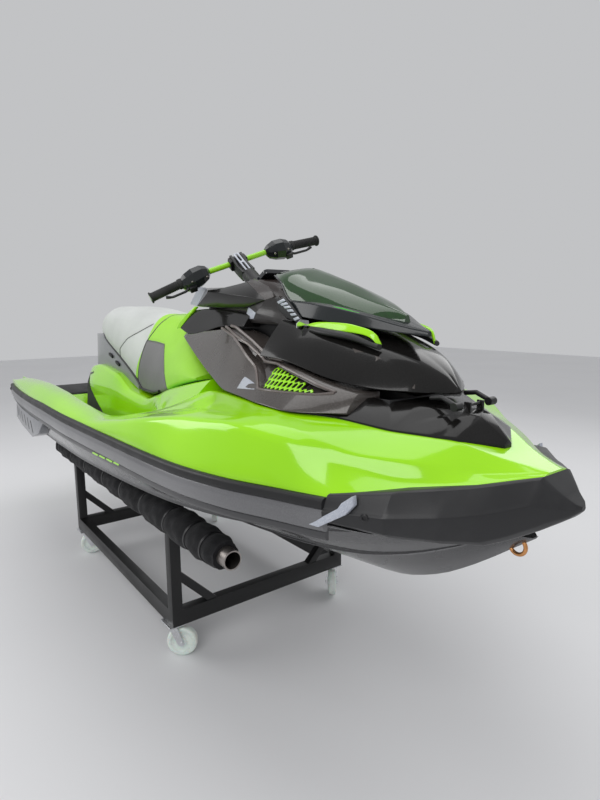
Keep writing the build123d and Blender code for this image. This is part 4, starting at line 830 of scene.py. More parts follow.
def add_deck():
    below = across([(-1800, 300), (1800, 300), (1800, 851), (-500, 851), (-1800, 809)], 900)
    piece("deck_skin", deck_shape(), LIME, "craft", "deck_green", ["deck"],
          cuts=[below, across(NOSE_CUT, 600), well_shape(), BAY, BIN_HOLE])
    liner = across([(-1649, 778), (-1188, 778), (-1188, 702), (543, 702), (543, 868), (-1649, 868)], 454)
    piece("deck_liner", liner, LIME, "craft", "deck_green", cuts=[well_shape(), BAY])
    body = pedestal_shape(stations_through(PEDESTAL, 16), 702, 0, 0, 1, 18)
    piece("pedestal_skin", body, LIME, "craft", "deck_green", cuts=[BAY])
    riser = box_shape(-1192, -1184, -419, 419, 715, 795)
    middle = box_shape(-1250, -1150, -168, 168, 600, 900)
    piece("riser_lining", riser, MAT, "craft", "deck_mat", cuts=[middle], bevel=1.5)
    lining = pedestal_shape(stations_through([(-1160,), (-520,)], 16), 717, 3, 4, 0, 20)
    piece("well_lining", lining, MAT, "craft", "deck_mat",
          cuts=[wedge_above(LINING_TOP), box_shape(-1150, 0, -170, 170, 600, 1100)])
    slot = []
    for x, z in PEDESTAL_SLOT:
        _, ridge_y, ridge_z, top_y, top_z = read_rows(PEDESTAL, [x])[0]
        slot.append((x, ridge_y + (top_y - ridge_y) * (z - ridge_z) / (top_z - ridge_z) + 3, z))
    piece("pedestal_slots", both_plates(slot, [(0, 1, 2, 3)], (0, -12, 0)), TRIM_BLACK, "craft",
          "moulded_black", bevel=2.0)


# Rub rails, bow bumper and sponsons

BUMPER_PLAN = [
    (1280, 413), (1400, 345), (1475, 262), (1530, 188), (1590, 98), (1630, 42), (1648, 24), (1656, 8),
]
BUMPER_TOP = [(1280, 872), (1400, 892), (1500, 902), (1590, 921), (1632, 880), (1656, 862)]
BUMPER_LOW = [
    (1280, 800), (1400, 787), (1475, 777), (1530, 772), (1560, 782), (1600, 804), (1639, 834), (1656, 852),
]
FIN_FACE = [(1246, 798), (1274, 798), (1334, 838), (1352, 862), (1350, 884), (1326, 864), (1318, 850)]
# Aft and forward end and height of each lime dash
DASHES = [(196, 248, 775), (262, 314, 777), (328, 378, 779), (392, 436, 781)]
SPONSON_PLAN = [(-1400, 552), (-1100, 578), (-800, 594), (-600, 598), (-530, 590)]


RAIL_ROWS = [(-1650,)] + DECK[1:13]
# The rail falls by this much from here aft, over this run
FALL, FALL_X, FALL_RUN = 34, -500, 1155.5


def rail_bar(points, radii):
    """Starboard bar along the hull side. points are (step in from the rail's face, height), and the whole bar
    falls toward the stern."""
    x = stations_through(RAIL_ROWS, 40)
    face = read_rows(DECK, x)[:, 0]
    drop = FALL * np.clip((FALL_X - x) / FALL_RUN, 0, 1)
    corners = corners_of(x, *[(-(face - inset), z - drop) for inset, z in points])
    return skin(x, soft_outline(corners, radii, None, 3, 3))


def bumper_shape():
    """Bow bumper from corners at each station: a lower lip, an upright face that ends in an edge at x = 1475,
    a ledge at 52 to 58 % of the height, and an upper face that leans in most at that edge."""
    marks = [1400, 1475, 1500, 1530, 1590, 1630, 1648, 1653, 1656]
    x = np.unique(np.concatenate([np.linspace(1280, 1650, 36), marks]))
    h, top, low = (line_through(rows, x) for rows in (BUMPER_PLAN, BUMPER_TOP, BUMPER_LOW))
    k = np.clip(h / 110, 0.1, 1)
    t = np.clip((top - low) / 90, 0.3, 1)
    mid = low + (0.52 + 0.06 * np.clip((x - 1400) / 120, 0, 1)) * (top - low)
    lean = np.interp(x, [1280, 1400, 1475, 1590, 1656], [10, 26, 52, 40, 6]) * k
    half = corners_of(
        x, (0, low), (h - 22 * k, low + 3 * t), (h - 3 * k, low + 16 * t), (h, mid - 3 * t),
        (h - 7 * k, mid + 5 * t), (h - 9 * k - 0.7 * lean, top - 5 * t), (h - 12 * k - lean, top), (0, top))
    return skin(x, mirrored(soft_outline(half, [0, 6, 3, 2, 3, 3, 4, 0], None, 2, 3)))


def add_rails():
    strip = rail_bar([(18, 840), (1, 840), (0, 845), (1, 859), (8, 865), (18, 865)], [0, 2, 4, 5, 4, 0])
    body = rail_bar([(18, 784), (10, 784), (2, 800), (0, 826), (5, 839), (18, 839)], [0, 5, 10, 7, 4, 0])
    lower = rail_bar([(22, 762), (17, 762), (12, 770), (12, 782), (16, 785), (22, 785)], [0, 3, 3, 2, 2, 0])
    piece("rail_strip", both(strip), RAIL_BLACK, "craft", "rail_black", ["rub_rails"])
    piece("rail_body", both(body), RAIL_SATIN, "craft", "rail_black")
    # The lower lip carries painted shade: its grey is darker than the rail body's
    piece("rail_lower", both(lower), RAIL_LOWER_SHADE, "craft", "rail_black")
    piece("bumper_skin", bumper_shape(), BUMPER, "craft", "rail_black", ["bow_bumper"], crease=18)
    fin_x, fin_z = np.array(FIN_FACE, float).T
    fin = np.c_[fin_x, line_through([(1246, 424), (1280, 417), (1352, 384)], fin_x), fin_z]
    piece("rail_fins", both_plates(fin, [tuple(range(len(fin)))], (-2, -14, 0)), SILVER, "craft",
          "sponson_silver", bevel=1.5)
    screws, dashes = [], []
    for x, z, turned in ((1366, 836, radians(30)), (-1630, 800, 0)):
        y = line_through([(-1655.5, 528), (-1400, 558), (1280, 414), (1400, 345)], x)
        screws.append(placed(screw_shape(9, 5), (x, y - 1, z), (0, 0, 1), (sin(turned), cos(turned), 0)))
    for x0, x1, z in DASHES:
        y0, y1 = read_rows(DECK, [x0, x1])[:, 0] - 11
        dash = [(x0, y0, z - 3.5), (x1, y1, z - 3.5), (x1 + 8, y1, z + 3.5), (x0 + 8, y0, z + 3.5)]
        dashes.append(shell_of(dash, [(0, 1, 2, 3)], (0, -3, 0)))
    piece("rail_screws", both(joined(*screws)), TRIM_BLACK, "craft", "moulded_black", bevel=0.6)
    piece("rail_dashes", both(joined(*dashes)), LIME, "craft", "deck_green")


def add_sponsons():
    """Sponsons with six dark slots that slope down toward the bow."""
    slots = []
    for k in range(6):
        x = -1300 + 100 * k
        low, high = 690 - 2 * k, 742 - k
        y0, y1 = line_through(SPONSON_PLAN, x), line_through(SPONSON_PLAN, x + 46)
        face = [(x, y0 + 0.8, high), (x + 18, y0 + 0.8, high), (x + 58, y1 + 0.8, low),
                (x + 40, y1 + 0.8, low)]
        slots.append(both_plates(face, [(0, 1, 2, 3)], (0, -6, 0)))
    eased("sponsons", SPONSON_GREY, "craft", "sponson_silver", 4.0, 3)
    piece("sponson_slots", joined(*slots), TRIM_BLACK, "craft", "moulded_black", bevel=1.0)


# Seat

# x, then y and z of the lower edge, of the widest line and of the top edge
SEAT = [
    (-1180, 44, 1166, 50, 1186, 34, 1206), (-1110, 88, 1156, 98, 1190, 70, 1240),
    (-1020, 124, 1146, 138, 1190, 100, 1268), (-930, 146, 1136, 160, 1186, 118, 1284),
    (-850, 162, 1112, 176, 1176, 130, 1292), (-600, 184, 1040, 190, 1130, 125, 1284),
    (-350, 198, 948, 188, 1080, 106, 1260), (-270, 204, 912, 190, 1076, 102, 1252),
    (-150, 216, 915, 194, 1070, 96, 1242), (0, 232, 938, 208, 1064, 96, 1220),
    (200, 254, 990, 236, 1064, 150, 1138), (395, 268, 1030, 258, 1040, 170, 1050),
]
SEAT_SIDE, SEAT_ARC = 12, 6
SEAT_SEAMS = [
    [(-229, 1236), (-302, 1134), (-330, 1010), (-347, 945)],
    [(-300, 1142), (-200, 1139), (-104, 1132), (-50, 1080), (80, 958)],
    [(-305, 1216), (-509, 1144), (-588, 1088), (-612, 1033), (-616, 1004)],
]
SEAM_DEPTH, SEAM_REACH = 3.0, 11
COLOUR_EDGE_X = -224.0


def seat_half(x):
    """Port half outline of the seat at each station: flat below, two soft shoulders and a crowned top."""
    low_y, low_z, mid_y, mid_z, top_y, top_z = read_rows(SEAT, x).T
    half = corners_of(x, (0, low_z), (low_y, low_z), (mid_y, mid_z), (top_y, top_z), (0, top_z + 8))
    return soft_outline(half, [0, 14, 60, 55, 0], [0, 4, 4, 5], SEAT_ARC, SEAT_SIDE)


def seat_y(x, z):
    """Half breadth of the seat's side at points of the side view."""
    x, z = np.asarray(x, float), np.asarray(z, float)
    half = seat_half(x)[:, SEAT_SIDE:]
    return np.array([np.interp(height, row[:, 1], row[:, 0]) for height, row in zip(z, half)])


def seat_groove(points):
    """Depth in mm that each point sinks by: 3 (1 - (d / 11)^2)^2 within 11 mm of a seam in the side view."""
    depth = np.zeros(len(points))
    for seam in SEAT_SEAMS:
        near = np.full(len(points), 1e9)
        for x, z in resampled(seam, 3)[::2]:
            near = np.minimum(near, (points[:, 0] - x)**2 + (points[:, 2] - z)**2)
        depth = np.maximum(depth, SEAM_DEPTH * np.clip(1 - near / SEAM_REACH**2, 0, 1)**2)
    return depth


def add_seat():
    x = stations_through(SEAT, 9)
    points, faces = skin(*domed(x, mirrored(seat_half(x)), 34, 6))
    side = np.abs(points[:, 1]) > 60
    points[:, 1] -= np.sign(points[:, 1]) * seat_groove(points) * side
    notch = box_shape(34, 520, -126, 126, 880, 1400)
    made = piece("seat_cover", (points, faces), COVER, "seat", "seat_vinyl", ["seat"], crease=40,
                 cuts=[notch])
    ribs = []
    for seam in SEAT_SEAMS:
        x, z = resampled(seam, 12).T
        path = np.c_[x, seat_y(x, z) - 1.0, z]
        ribs += [tube(path, 2.1, 8), tube(path * [1, -1, 1], 2.1, 8)]
    top = seat_half(np.array([COLOUR_EDGE_X]))[0]
    top = top[top[:, 1] > 1232]
    over = np.concatenate([top, (top * [-1, 1])[::-1]])
    over = np.c_[np.full(len(over), COLOUR_EDGE_X), over]
    ribs.append(tube(resampled(over, 12) - [0, 0, 0.6], 2.1, 8))
    piece("seat_piping", joined(*ribs), RAIL_SATIN, "seat", "seat_vinyl")
    x = np.linspace(-1172, -20, 90)
    low_y, low_z = read_rows(SEAT, x)[:, :2].T
    edge = tube(np.c_[x, low_y + 0.5, low_z + 5], 6.5, 12)
    piece("seat_edging", both(edge), TRIM_BLACK, "seat", "seat_vinyl")


def add_seat_trim():
    """Grey trim under the seat, with two dark slots a side."""
    eased("rear_trim", TRIM_GREY, "craft", "trim_grey", 2.0)
    slots = []
    for x in (-760, -640):
        y, z = (line_through(edge, x) for edge in ([(-850, 172), (-600, 188)], [(-850, 1105), (-600, 1034)]))
        corners = ((-26, 22), (22, 36), (22, 50), (-26, 36))
        face = [(x + u, y + 8.5 - 0.02 * down, z - down) for u, down in corners]
        slots.append(both_plates(face, [(0, 1, 2, 3)], (0, -12, 0)))
    piece("trim_slots", joined(*slots), TRIM_BLACK, "craft", "moulded_black", bevel=1.5)


# Side panels

# x, then y and z of the top edge and of the lower edge
SIDE_PANEL = [
    (150, 165, 1192, 190, 1172), (350, 185, 1204, 238, 1110), (545, 204, 1214, 282, 1056),
    (700, 216, 1178, 322, 1032), (800, 226, 1132, 340, 1032), (870, 230, 1130, 350, 1030),
    (945, 236, 1117, 360, 1028), (1045, 236, 1094, 356, 1023), (1175, 206, 1066, 246, 1018),
]
RECESS = [
    (590, 1188), (889, 1062), (1090, 1064), (1125, 1066), (1045, 1084), (945, 1106), (870, 1120), (800, 1121),
    (700, 1166),
]
PANEL_RIDGES = [
    [(481, 1216), (590, 1192), (889, 1058), (1090, 1060), (1130, 1066), (1045, 1088), (945, 1110),
     (872, 1124), (800, 1125), (700, 1168), (600, 1196), (516, 1222)],
    [(558, 1226), (592, 1222), (700, 1184), (818, 1136), (891, 1134)],
]
PANEL_FACET = [(767, 1081), (869, 1067), (904, 1058), (779, 1048)]
CELL_PITCH, ROW_PITCH = 17, 14.6
# First x, height and number of the dark pockets in each row, and the number of lattice cells in each row
CELL_ROWS = [(900, 1074, 9), (891.5, 1088.6, 6), (883, 1103.2, 3)]
LATTICE_ROWS = (10, 8, 6, 4)
LATTICE_FOOT = (906.5, 1060.5)
INNER_Y = 128


def hexagon(x, z, radius):
    """Corners of an upright hexagon in the side view."""
    turned = np.radians(60 * np.arange(6) + 30)
    return x + radius * np.cos(turned), z + radius * np.sin(turned)


def lattice_cell(x, z):
    """One cell of the lime lattice: a six-sided ring, sunk 10 mm below the side panel's face."""
    x, z = np.concatenate([hexagon(x, z, radius) for radius in (9.9, 7.2)], 1)
    y = panel_y(x, z)
    faces = [face for a, b in ((0, 6), (12, 18), (0, 12), (6, 18)) for face in ring_between(a, b, 6)]
    return np.concatenate([np.c_[x, y - 10, z], np.c_[x, y - 14, z]]), faces


def panel_y(x, z):
    """Half breadth of the side panel's face at points of the side view."""
    x, z = np.atleast_1d(x), np.atleast_1d(z)
    top_y, top_z, low_y, low_z = read_rows(SIDE_PANEL, x).T
    return np.clip((z - low_z) / (top_z - low_z), 0, 1) * (top_y - low_y) + low_y + 4


def panel_shape(depth):
    """Port side panel with its face moved inboard by depth."""
    x = stations_through(SIDE_PANEL, 25)
    top_y, top_z, low_y, low_z = read_rows(SIDE_PANEL, x).T
    section = corners_of(x, (INNER_Y, low_z), (low_y - depth, low_z),
                         (np.maximum(top_y - depth, INNER_Y + 2), top_z), (INNER_Y, top_z))
    return skin(x, section if depth else soft_outline(section, [0, 5, 5, 0], [0, 4, 0], 3, 8))


def add_side_panels():
    centres = [(x + CELL_PITCH * k, z) for x, z, count in CELL_ROWS for k in range(count)]
    pockets = joined(*[across(np.stack(hexagon(x, z, 8), -1), 400) for x, z in centres])
    cuts = [minus(across(RECESS, 400), [panel_shape(26)]), minus(pockets, [panel_shape(38)])]
    piece("side_panel_skins", both(minus(panel_shape(0), cuts)), GRAPHITE, "craft", "graphite",
          ["side_panels"], bevel=1.6)
    ridges = []
    for line in PANEL_RIDGES:
        x, z = resampled(line, 14).T
        ridges.append(tube(np.c_[x, panel_y(x, z) - 1.5, z], 5.0, 10))
    piece("panel_ridges", both(joined(*ridges)), UMBER, "craft", "graphite")
    x0, z0 = LATTICE_FOOT
    lattice = [lattice_cell(x0 + CELL_PITCH * (k - row / 2), z0 + ROW_PITCH * row)
               for row, count in enumerate(LATTICE_ROWS) for k in range(count)]
    piece("panel_lattice", both(joined(*lattice)), LIME, "craft", "deck_green")
    facet = [(x, float(panel_y(x, z)[0]) + 1.0, z) for x, z in PANEL_FACET]
    piece("panel_facets", both_plates(facet, [(0, 1, 2, 3)], (0, -5, 0)), SILVER, "craft", "graphite",
          bevel=0.5)


# Hood, visor, windscreen, mirrors and vents

# x, then y and z of the lower edge and of the ridge, height of the crown
HOOD = [
    (800, 256, 1142, 172, 1248, 1262), (880, 250, 1138, 165, 1234, 1250), (945, 240, 1126, 160, 1222, 1240),
    (1080, 214, 1094, 130, 1192, 1208), (1200, 158, 1075, 88, 1158, 1166), (1262, 112, 1072, 56, 1128, 1134),
    (1300, 60, 1068, 30, 1102, 1106), (1324, 14, 1064, 8, 1078, 1080),
]
# x, half breadth, lower and upper height
VISOR = [
    (806, 159, 1262, 1306), (900, 155, 1254, 1298), (1050, 113, 1234, 1270), (1160, 52, 1216, 1236),
    (1228, 8, 1206, 1216),
]
# x, then y and z of the foot and of the shoulder, height of the crown
SCREEN = [
    (640, 84, 1388, 66, 1400, 1408), (720, 120, 1366, 98, 1394, 1414), (800, 138, 1302, 108, 1362, 1396),
    (860, 136, 1286, 104, 1344, 1378), (940, 125, 1270, 86, 1324, 1352), (1080, 82, 1244, 48, 1284, 1292),
    (1150, 14, 1228, 8, 1254, 1262),
]
# x, y, z, half width, half height
MIRROR_POD = [
    (930, 158, 1222, 14, 10), (980, 156, 1216, 18, 12), (1080, 140, 1204, 16, 12), (1160, 118, 1180, 10, 8),
]
# x, y, outer and inner height, width
ARCH = [
    (906, 160, 1236, 1233, 5), (945, 156, 1243, 1226, 9), (983, 150, 1244, 1215, 12),
    (1055, 140, 1241, 1217, 12), (1095, 133, 1234, 1214, 11), (1126, 126, 1226, 1208, 10),
    (1146, 120, 1214, 1196, 9), (1157, 113, 1192, 1178, 7),
]
POD_LOOP = [(-1, -0.6), (0, -1), (1, -0.5), (1, 0.3), (0.3, 1), (-1, 0.8)]
SCOOP = [(1085, 1176), (1160, 1156), (1262, 1100), (1268, 1080), (1150, 1120)]
VENT_BACK = [
    (756, 163, 1310), (797, 163, 1318), (888, 166, 1250), (874, 166, 1240), (818, 165, 1254),
    (772, 164, 1276),
]
HOOD_WALL, SCREEN_WALL = 11, 4.0
HINGE_X, HINGE_Z = 1374, 1046


def hood_outer():
    """Hood with a soft ridge each side and a crowned top, along the rows of HOOD."""
    x = stations_through(HOOD, 22)
    side_y, side_z, ridge_y, ridge_z, crown_z = read_rows(HOOD, x).T
    half = corners_of(x, (0, side_z), (side_y, side_z), (ridge_y, ridge_z), (0, crown_z))
    return skin(x, mirrored(soft_outline(half, [0, 6, 16, 0], [0, 3, 3], 4, 8)))


def hood_side(x, z):
    """Half breadth of the hood's flank at a point of the side view."""
    side_y, side_z, ridge_y, ridge_z, crown = read_rows(HOOD, [x])[0]
    if z > ridge_z:
        return ridge_y * max(0.0, (crown - z) / (crown - ridge_z))
    return ridge_y + (side_y - ridge_y) * (ridge_z - z) / (ridge_z - side_z) + 2


def hood_inner():
    """Load space under the hood, to cut with. The nose stays solid."""
    x = stations_through(HOOD[:-3], 40)
    side_y, side_z, ridge_y, ridge_z, crown_z = read_rows(HOOD, x).T
    half = corners_of(x, (0, side_z - 5), (side_y - 12, side_z - 5),
                      (ridge_y - HOOD_WALL, ridge_z - HOOD_WALL), (0, crown_z - HOOD_WALL))
    return skin(x - 6, mirrored(half))


def visor_shape():
    """Low box that narrows by a tenth to its crowned top, along the rows of VISOR."""
    x = stations_through(VISOR, 20)
    half_y, low_z, top_z = read_rows(VISOR, x).T
    half = corners_of(x, (0, low_z), (half_y, low_z), (half_y * 0.9, top_z), (0, top_z + 4))
    return skin(x, mirrored(soft_outline(half, [0, 3, 6, 0], [0, 0, 2], 3, 6)))


def screen_section(x, wall):
    """Outline of the windscreen at each station, moved inward by its wall."""
    foot_y, foot_z, shoulder_y, shoulder_z, crown_z = read_rows(SCREEN, x).T
    low = foot_z - (2 if wall else 0)
    half = corners_of(x, (0, low), (np.maximum(foot_y - wall, 3), low),
                      (np.maximum(shoulder_y - wall, 2), shoulder_z - wall), (0, crown_z - wall))
    return mirrored(soft_outline(half, [0, 4, 22, 0], [0, 2, 3], 5, 6))


def add_hood():
    scoop = [(x, hood_side(x, z) + 2.0, z) for x, z in SCOOP]
    piece("hood_scoops", both_plates(scoop, [(0, 1, 2, 4), (4, 2, 3)], (0, -8, -2)), GRAPHITE, "hood",
          "graphite", bevel=1.5)
    piece("hood_skin", hood_outer(), GLOSS_BLACK, "hood", "gloss_black", ["hood"], cuts=[hood_inner()],
          crease=26)
    piece("visor_skin", visor_shape(), VISOR_BLACK, "hood", "gloss_black", ["visor"], crease=26)


def add_windscreen():
    x = stations_through(SCREEN, 18)
    inner_x = stations_through(SCREEN[:-1], 18)
    hollow = skin(np.concatenate([[600], inner_x[1:]]), screen_section(inner_x, SCREEN_WALL))
    piece("windscreen_skin", skin(x, screen_section(x, 0.0)), SCREEN_TINT, "hood", "tinted_screen",
          ["windscreen"], cuts=[hollow], crease=30)
    foot = read_rows(SCREEN, x)
    rim = tube(resampled(np.c_[x, -foot[:, 0], foot[:, 1] + 2], 20), 3.4, 10)
    piece("windscreen_rim", both(rim), VISOR_BLACK, "hood", "tinted_screen")
    # A bright green tube each side low on the screen: painted glow of the tinted screen, not a lamp
    x = np.linspace(870, 1120, 14)
    foot = read_rows(SCREEN, x)
    glow = np.c_[x, foot[:, 0] + 0.5, foot[:, 1] + 22 - 10 * np.abs(np.linspace(-1, 1, 14))]
    piece("windscreen_painted_glow", both(tube(glow, 3.2, 10)), PAINTED_GLOW_GREEN, "hood", "tinted_screen")


def add_mirrors():
    x = stations_through(MIRROR_POD, 15)
    y, z, wide, high = read_rows(MIRROR_POD, x).T
    loop = corners_of(x, *[(y + wide * u, z + high * v) for u, v in POD_LOOP])
    pod = skin(x, soft_outline(loop, [0, 6, 8, 8, 8, 0], None, 4, 4))
    piece("mirror_pods", both(pod), TRIM_BLACK, "hood", "deck_green", ["mirror_housings"], crease=40)
    x = stations_through(ARCH, 12)
    y, outer_z, inner_z, wide = read_rows(ARCH, x).T
    loop = corners_of(x, (y - wide, inner_z + 2), (y + 0.5 * wide, inner_z), (y + 0.6 * wide, inner_z + 4),
                      (y, outer_z - 3), (y - 0.3 * wide, outer_z), (y - wide, outer_z - 4))
    arch = skin(x, soft_outline(loop, [0, 2, 3, 5, 4, 0], None, 3, 3))
    piece("mirror_arches", both(arch), LIME, "hood", "deck_green", crease=40)


def add_vents():
    """Six slats a side beside the windscreen's foot, in front of a dark back."""
    slats = []
    along = np.array([9, 0, -7])
    for t in np.linspace(0.04, 0.9, 6):
        upper = np.array([797 + 85 * t, 168, 1314 - 62 * t])
        lower = np.array([764 + 96 * t, 168, 1304 - 60 * t + 8 * sin(pi * t)])
        slats.append(shell_of([upper, upper + along, lower + along, lower], [(0, 3, 2, 1)], (0, -9, 0)))
    piece("vent_slats", both(joined(*slats)), SILVER, "hood", "trim_grey", ["hood_vents"], bevel=1.2)
    piece("vent_backs", both_plates(VENT_BACK, [(0, 5, 4, 3, 2, 1)], (0, -8, 0)), TRIM_BLACK, "hood",
          "moulded_black", bevel=1.0)


def add_hood_hinges():
    """Two arms from the hood's nose to its hinge pin, each with a knuckle on the pin."""
    parts = []
    for y in (-70, 70):
        parts.append(tube([(1296, y, 1058), (1330, y, 1063), (HINGE_X, y, HINGE_Z)], 6.5, 14))
        knuckle = lathe([(-12, 0), (-12, 10.5), (12, 10.5), (12, 0)], 32)
        parts.append(placed(knuckle, (HINGE_X, y, HINGE_Z), (0, 1, 0), (1, 0, 0)))
    piece("hood_hinges", joined(*parts), TRIM_BLACK, "hood", "moulded_black")


# Console. Facets are (x, half breadth, z) corners and the corner numbers of each face

WING_CORNERS = [
    (230, 126, 1363), (400, 136, 1359), (518, 120, 1375), (697, 165, 1309), (342, 176, 1346),
    (608, 180, 1322), (195, 150, 1294), (398, 160, 1286), (582, 165, 1285),
]
WING_FACES = [(0, 4, 1), (1, 4, 5, 2), (2, 5, 3), (0, 6, 4), (4, 7, 8, 5), (4, 6, 7), (5, 8, 3)]
BROW_CORNERS = [(518, 120, 1375.5), (506, 80, 1388), (625, 100, 1356), (694, 121, 1321), (697, 164, 1309.5)]
LOWER_CORNERS = [
    (588, 158, 1289), (651, 170, 1268), (637, 170, 1249), (555, 150, 1248), (626, 162, 1235),
    (763, 152, 1232), (800, 150, 1248), (761, 141, 1275), (694, 122, 1320), (697, 163, 1308),
    (560, 146, 1234),
]
LOWER_FACES = [(0, 1, 9), (9, 1, 7, 8), (1, 5, 6, 7), (1, 2, 4, 5), (2, 3, 10, 4)]
TAIL_CORNERS = [(175, 130, 1371), (240, 130, 1360), (196, 151, 1294), (127, 145, 1303)]
HORN = [
    (62, 178, 1204), (84, 178, 1226), (150, 168, 1268), (196, 160, 1294), (206, 158, 1290), (160, 166, 1258),
    (96, 178, 1208),
]
# x, then y and z of the foot, of the widest line and of the top edge, height of the crown
CORE = [
    (250, 120, 1270, 142, 1336, 112, 1350, 1352), (400, 140, 1270, 164, 1338, 122, 1352, 1370),
    (518, 145, 1270, 168, 1326, 108, 1366, 1384), (608, 148, 1262, 168, 1314, 94, 1346, 1370),
    (697, 140, 1250, 150, 1300, 92, 1316, 1338), (762, 125, 1246, 132, 1268, 76, 1290, 1304),
]
# x, then y and z of the lower edge and of the top edge
KNEE = [
    (70, 172, 1210, 170, 1217), (188, 182, 1186, 152, 1280), (300, 184, 1197, 150, 1284),
    (481, 186, 1222, 150, 1278), (600, 186, 1222, 148, 1270),
]
BAR_MIDDLE = (262, 0, 1466)


def add_console():
    eased("console", TRIM_BLACK, "craft", "gloss_black", 1.5, label="console_base",
          cuts=[box_shape(268, 900, -300, 300, 1262, 1500), box_shape(200, 900, 122, 300, 1200, 1500),
                box_shape(200, 900, -300, -122, 1200, 1500)])
    x = stations_through(CORE, 30)
    low_y, low_z, edge_y, edge_z, top_y, top_z, crown = read_rows(CORE, x).T
    half = corners_of(x, (0, low_z), (low_y, low_z), (edge_y, edge_z), (top_y, top_z), (72, crown),
                      (0, crown + 2))
    bore = placed(lathe([(-400, 0), (-400, 31), (60, 31), (60, 0)], 40), BAR_MIDDLE, (-0.5446, 0, 0.8387),
                  (0, 1, 0))
    core = skin(x, mirrored(soft_outline(half, [0, 6, 6, 8, 10, 0], None, 3, 4)))
    piece("console_core", core, DARK_UMBER, "craft", "gloss_black", cuts=[bore], crease=26)
    wings = both_plates(WING_CORNERS, WING_FACES, (6, -20, -4))
    piece("console_wings", wings, GLOSS_BLACK, "craft", "gloss_black", bevel=2.5)
    brow = both_plates(BROW_CORNERS, [(0, 4, 3, 2, 1)], (-4, -12, -8))
    piece("console_brow", brow, DARK_UMBER, "craft", "graphite", bevel=1.2)
    lower = both_plates(LOWER_CORNERS, LOWER_FACES, (-4, -16, 2))
    piece("console_lower", lower, WING_GREY, "craft", "graphite", bevel=2.0)
    facet = both_plates([(x, y + 1.2, z) for x, y, z in LOWER_CORNERS[:4]], [(0, 3, 2, 1)], (0, -3, 0))
    tail = both_plates(TAIL_CORNERS, [(0, 3, 2, 1)], (24, -16, -3))
    piece("console_facets", joined(facet, tail), SILVER, "craft", "sponson_silver", bevel=1.2)
    x = stations_through(KNEE, 25)
    low_y, low_z, top_y, top_z = read_rows(KNEE, x).T
    section = corners_of(x, (121, low_z), (low_y, low_z), (top_y, top_z), (121, top_z))
    knee = skin(x, soft_outline(section, [0, 4, 8, 0], [0, 3, 0], 3, 5))
    piece("knee_panels", both(knee), GLOSS_BLACK, "craft", "gloss_black")
    horns = both_plates(HORN, [(6, 5, 4, 3, 2, 1, 0)], (0, -12, 0))
    piece("knee_horns", horns, LIME, "craft", "deck_green", bevel=2.5)
    eased("gauge", DARK_GLASS, "craft", "gauge_glass", 2.0, 3)
    eased("glovebox_lid", GLOSS_BLACK, "glovebox_lid", "gloss_black", 1.5)
    eased("steering_mount", TRIM_BLACK, "craft", "moulded_black", 1.5)


# Steering. Local axes: ahead of the bar, along it to port and up the column, from the middle of the bar

RAKE, REST_TURN = radians(57), radians(23)
COLUMN_UP = np.array([-sin(RAKE), 0, cos(RAKE)])
COLUMN_AHEAD = np.array([cos(RAKE), 0, sin(RAKE)])
PORT = np.array([0, 1, 0])
BAR_AXES = np.stack([cos(REST_TURN) * COLUMN_AHEAD - sin(REST_TURN) * PORT,
                     sin(REST_TURN) * COLUMN_AHEAD + cos(REST_TURN) * PORT, COLUMN_UP])
# The bar is straight to 160 mm out, and is then swept back by 28 mm in 208
STRAIGHT, SWEEP, SWEPT = 160, 28, 208
BAR_LEAN = atan2(SWEEP, SWEPT)
# Distance along the bar, then the reach aft, ahead, down and up of a switch housing
MODULE = [
    (124, -12, 14, -14, 12), (136, -26, 28, -30, 20), (160, -36, 38, -42, 27), (196, -40, 40, -46, 29),
    (224, -36, 30, -38, 27), (240, -20, 18, -21, 19),
]
GRIP_PROFILE = [(0, 11.2), (0, 21), (3, 22), (5, 22), (7, 17.5)]
FORK = [(30, 14), (27, -14), (18, -50), (22, -99), (-22, -99), (-26, -50), (-24, 14)]
# Distance along the bar, ahead and up
LEVER = [(214, -14, -26), (236, -24, -38), (296, -27, -40), (318, -21, -36)]


def steered(shape):
    """Shape in the steering's own axes, put in the row frame."""
    return np.asarray(shape[0]) @ BAR_AXES + np.array(BAR_MIDDLE), shape[1]


def module_shape(side):
    """Faceted switch housing: an eight-sided outline at each station along the bar."""
    b, a0, a1, c0, c1 = np.array(MODULE, float).T
    middle = -SWEEP * np.clip((np.abs(b) - STRAIGHT) / SWEPT, 0, None)
    ka, kc = 0.30 * (a1 - a0), 0.30 * (c1 - c0)
    ring = [(a0 + ka, c0), (a1 - ka, c0), (a1, c0 + kc), (a1, c1 - kc), (a1 - ka, c1), (a0 + ka, c1),
            (a0, c1 - kc), (a0, c0 + kc)]
    points, faces = skin(b, np.stack([np.stack([middle + u, v], -1) for u, v in ring], 1))
    return np.stack([points[:, 1], side * points[:, 0], points[:, 2]], -1), faces


def grip_shape(side):
    """Handle grip turned about the bar: flange, ribs of 5 mm with 2 mm grooves and a flared end."""
    profile = list(GRIP_PROFILE)
    for k in range(15):
        profile += [(10 + 7 * k, 17.4), (14.4 + 7 * k, 17.4), (14.8 + 7 * k, 15.8), (16.6 + 7 * k, 15.8)]
    profile += [(116, 17.6), (118, 20), (130, 20.5), (134, 18), (134, 11.2)]
    out = np.array([-sin(BAR_LEAN), side * cos(BAR_LEAN), 0])
    end = np.array([-SWEEP, side * (STRAIGHT + SWEPT), 0.0])
    return placed(lathe(profile + [profile[0]], 28), end, -out, (0, 0, 1))


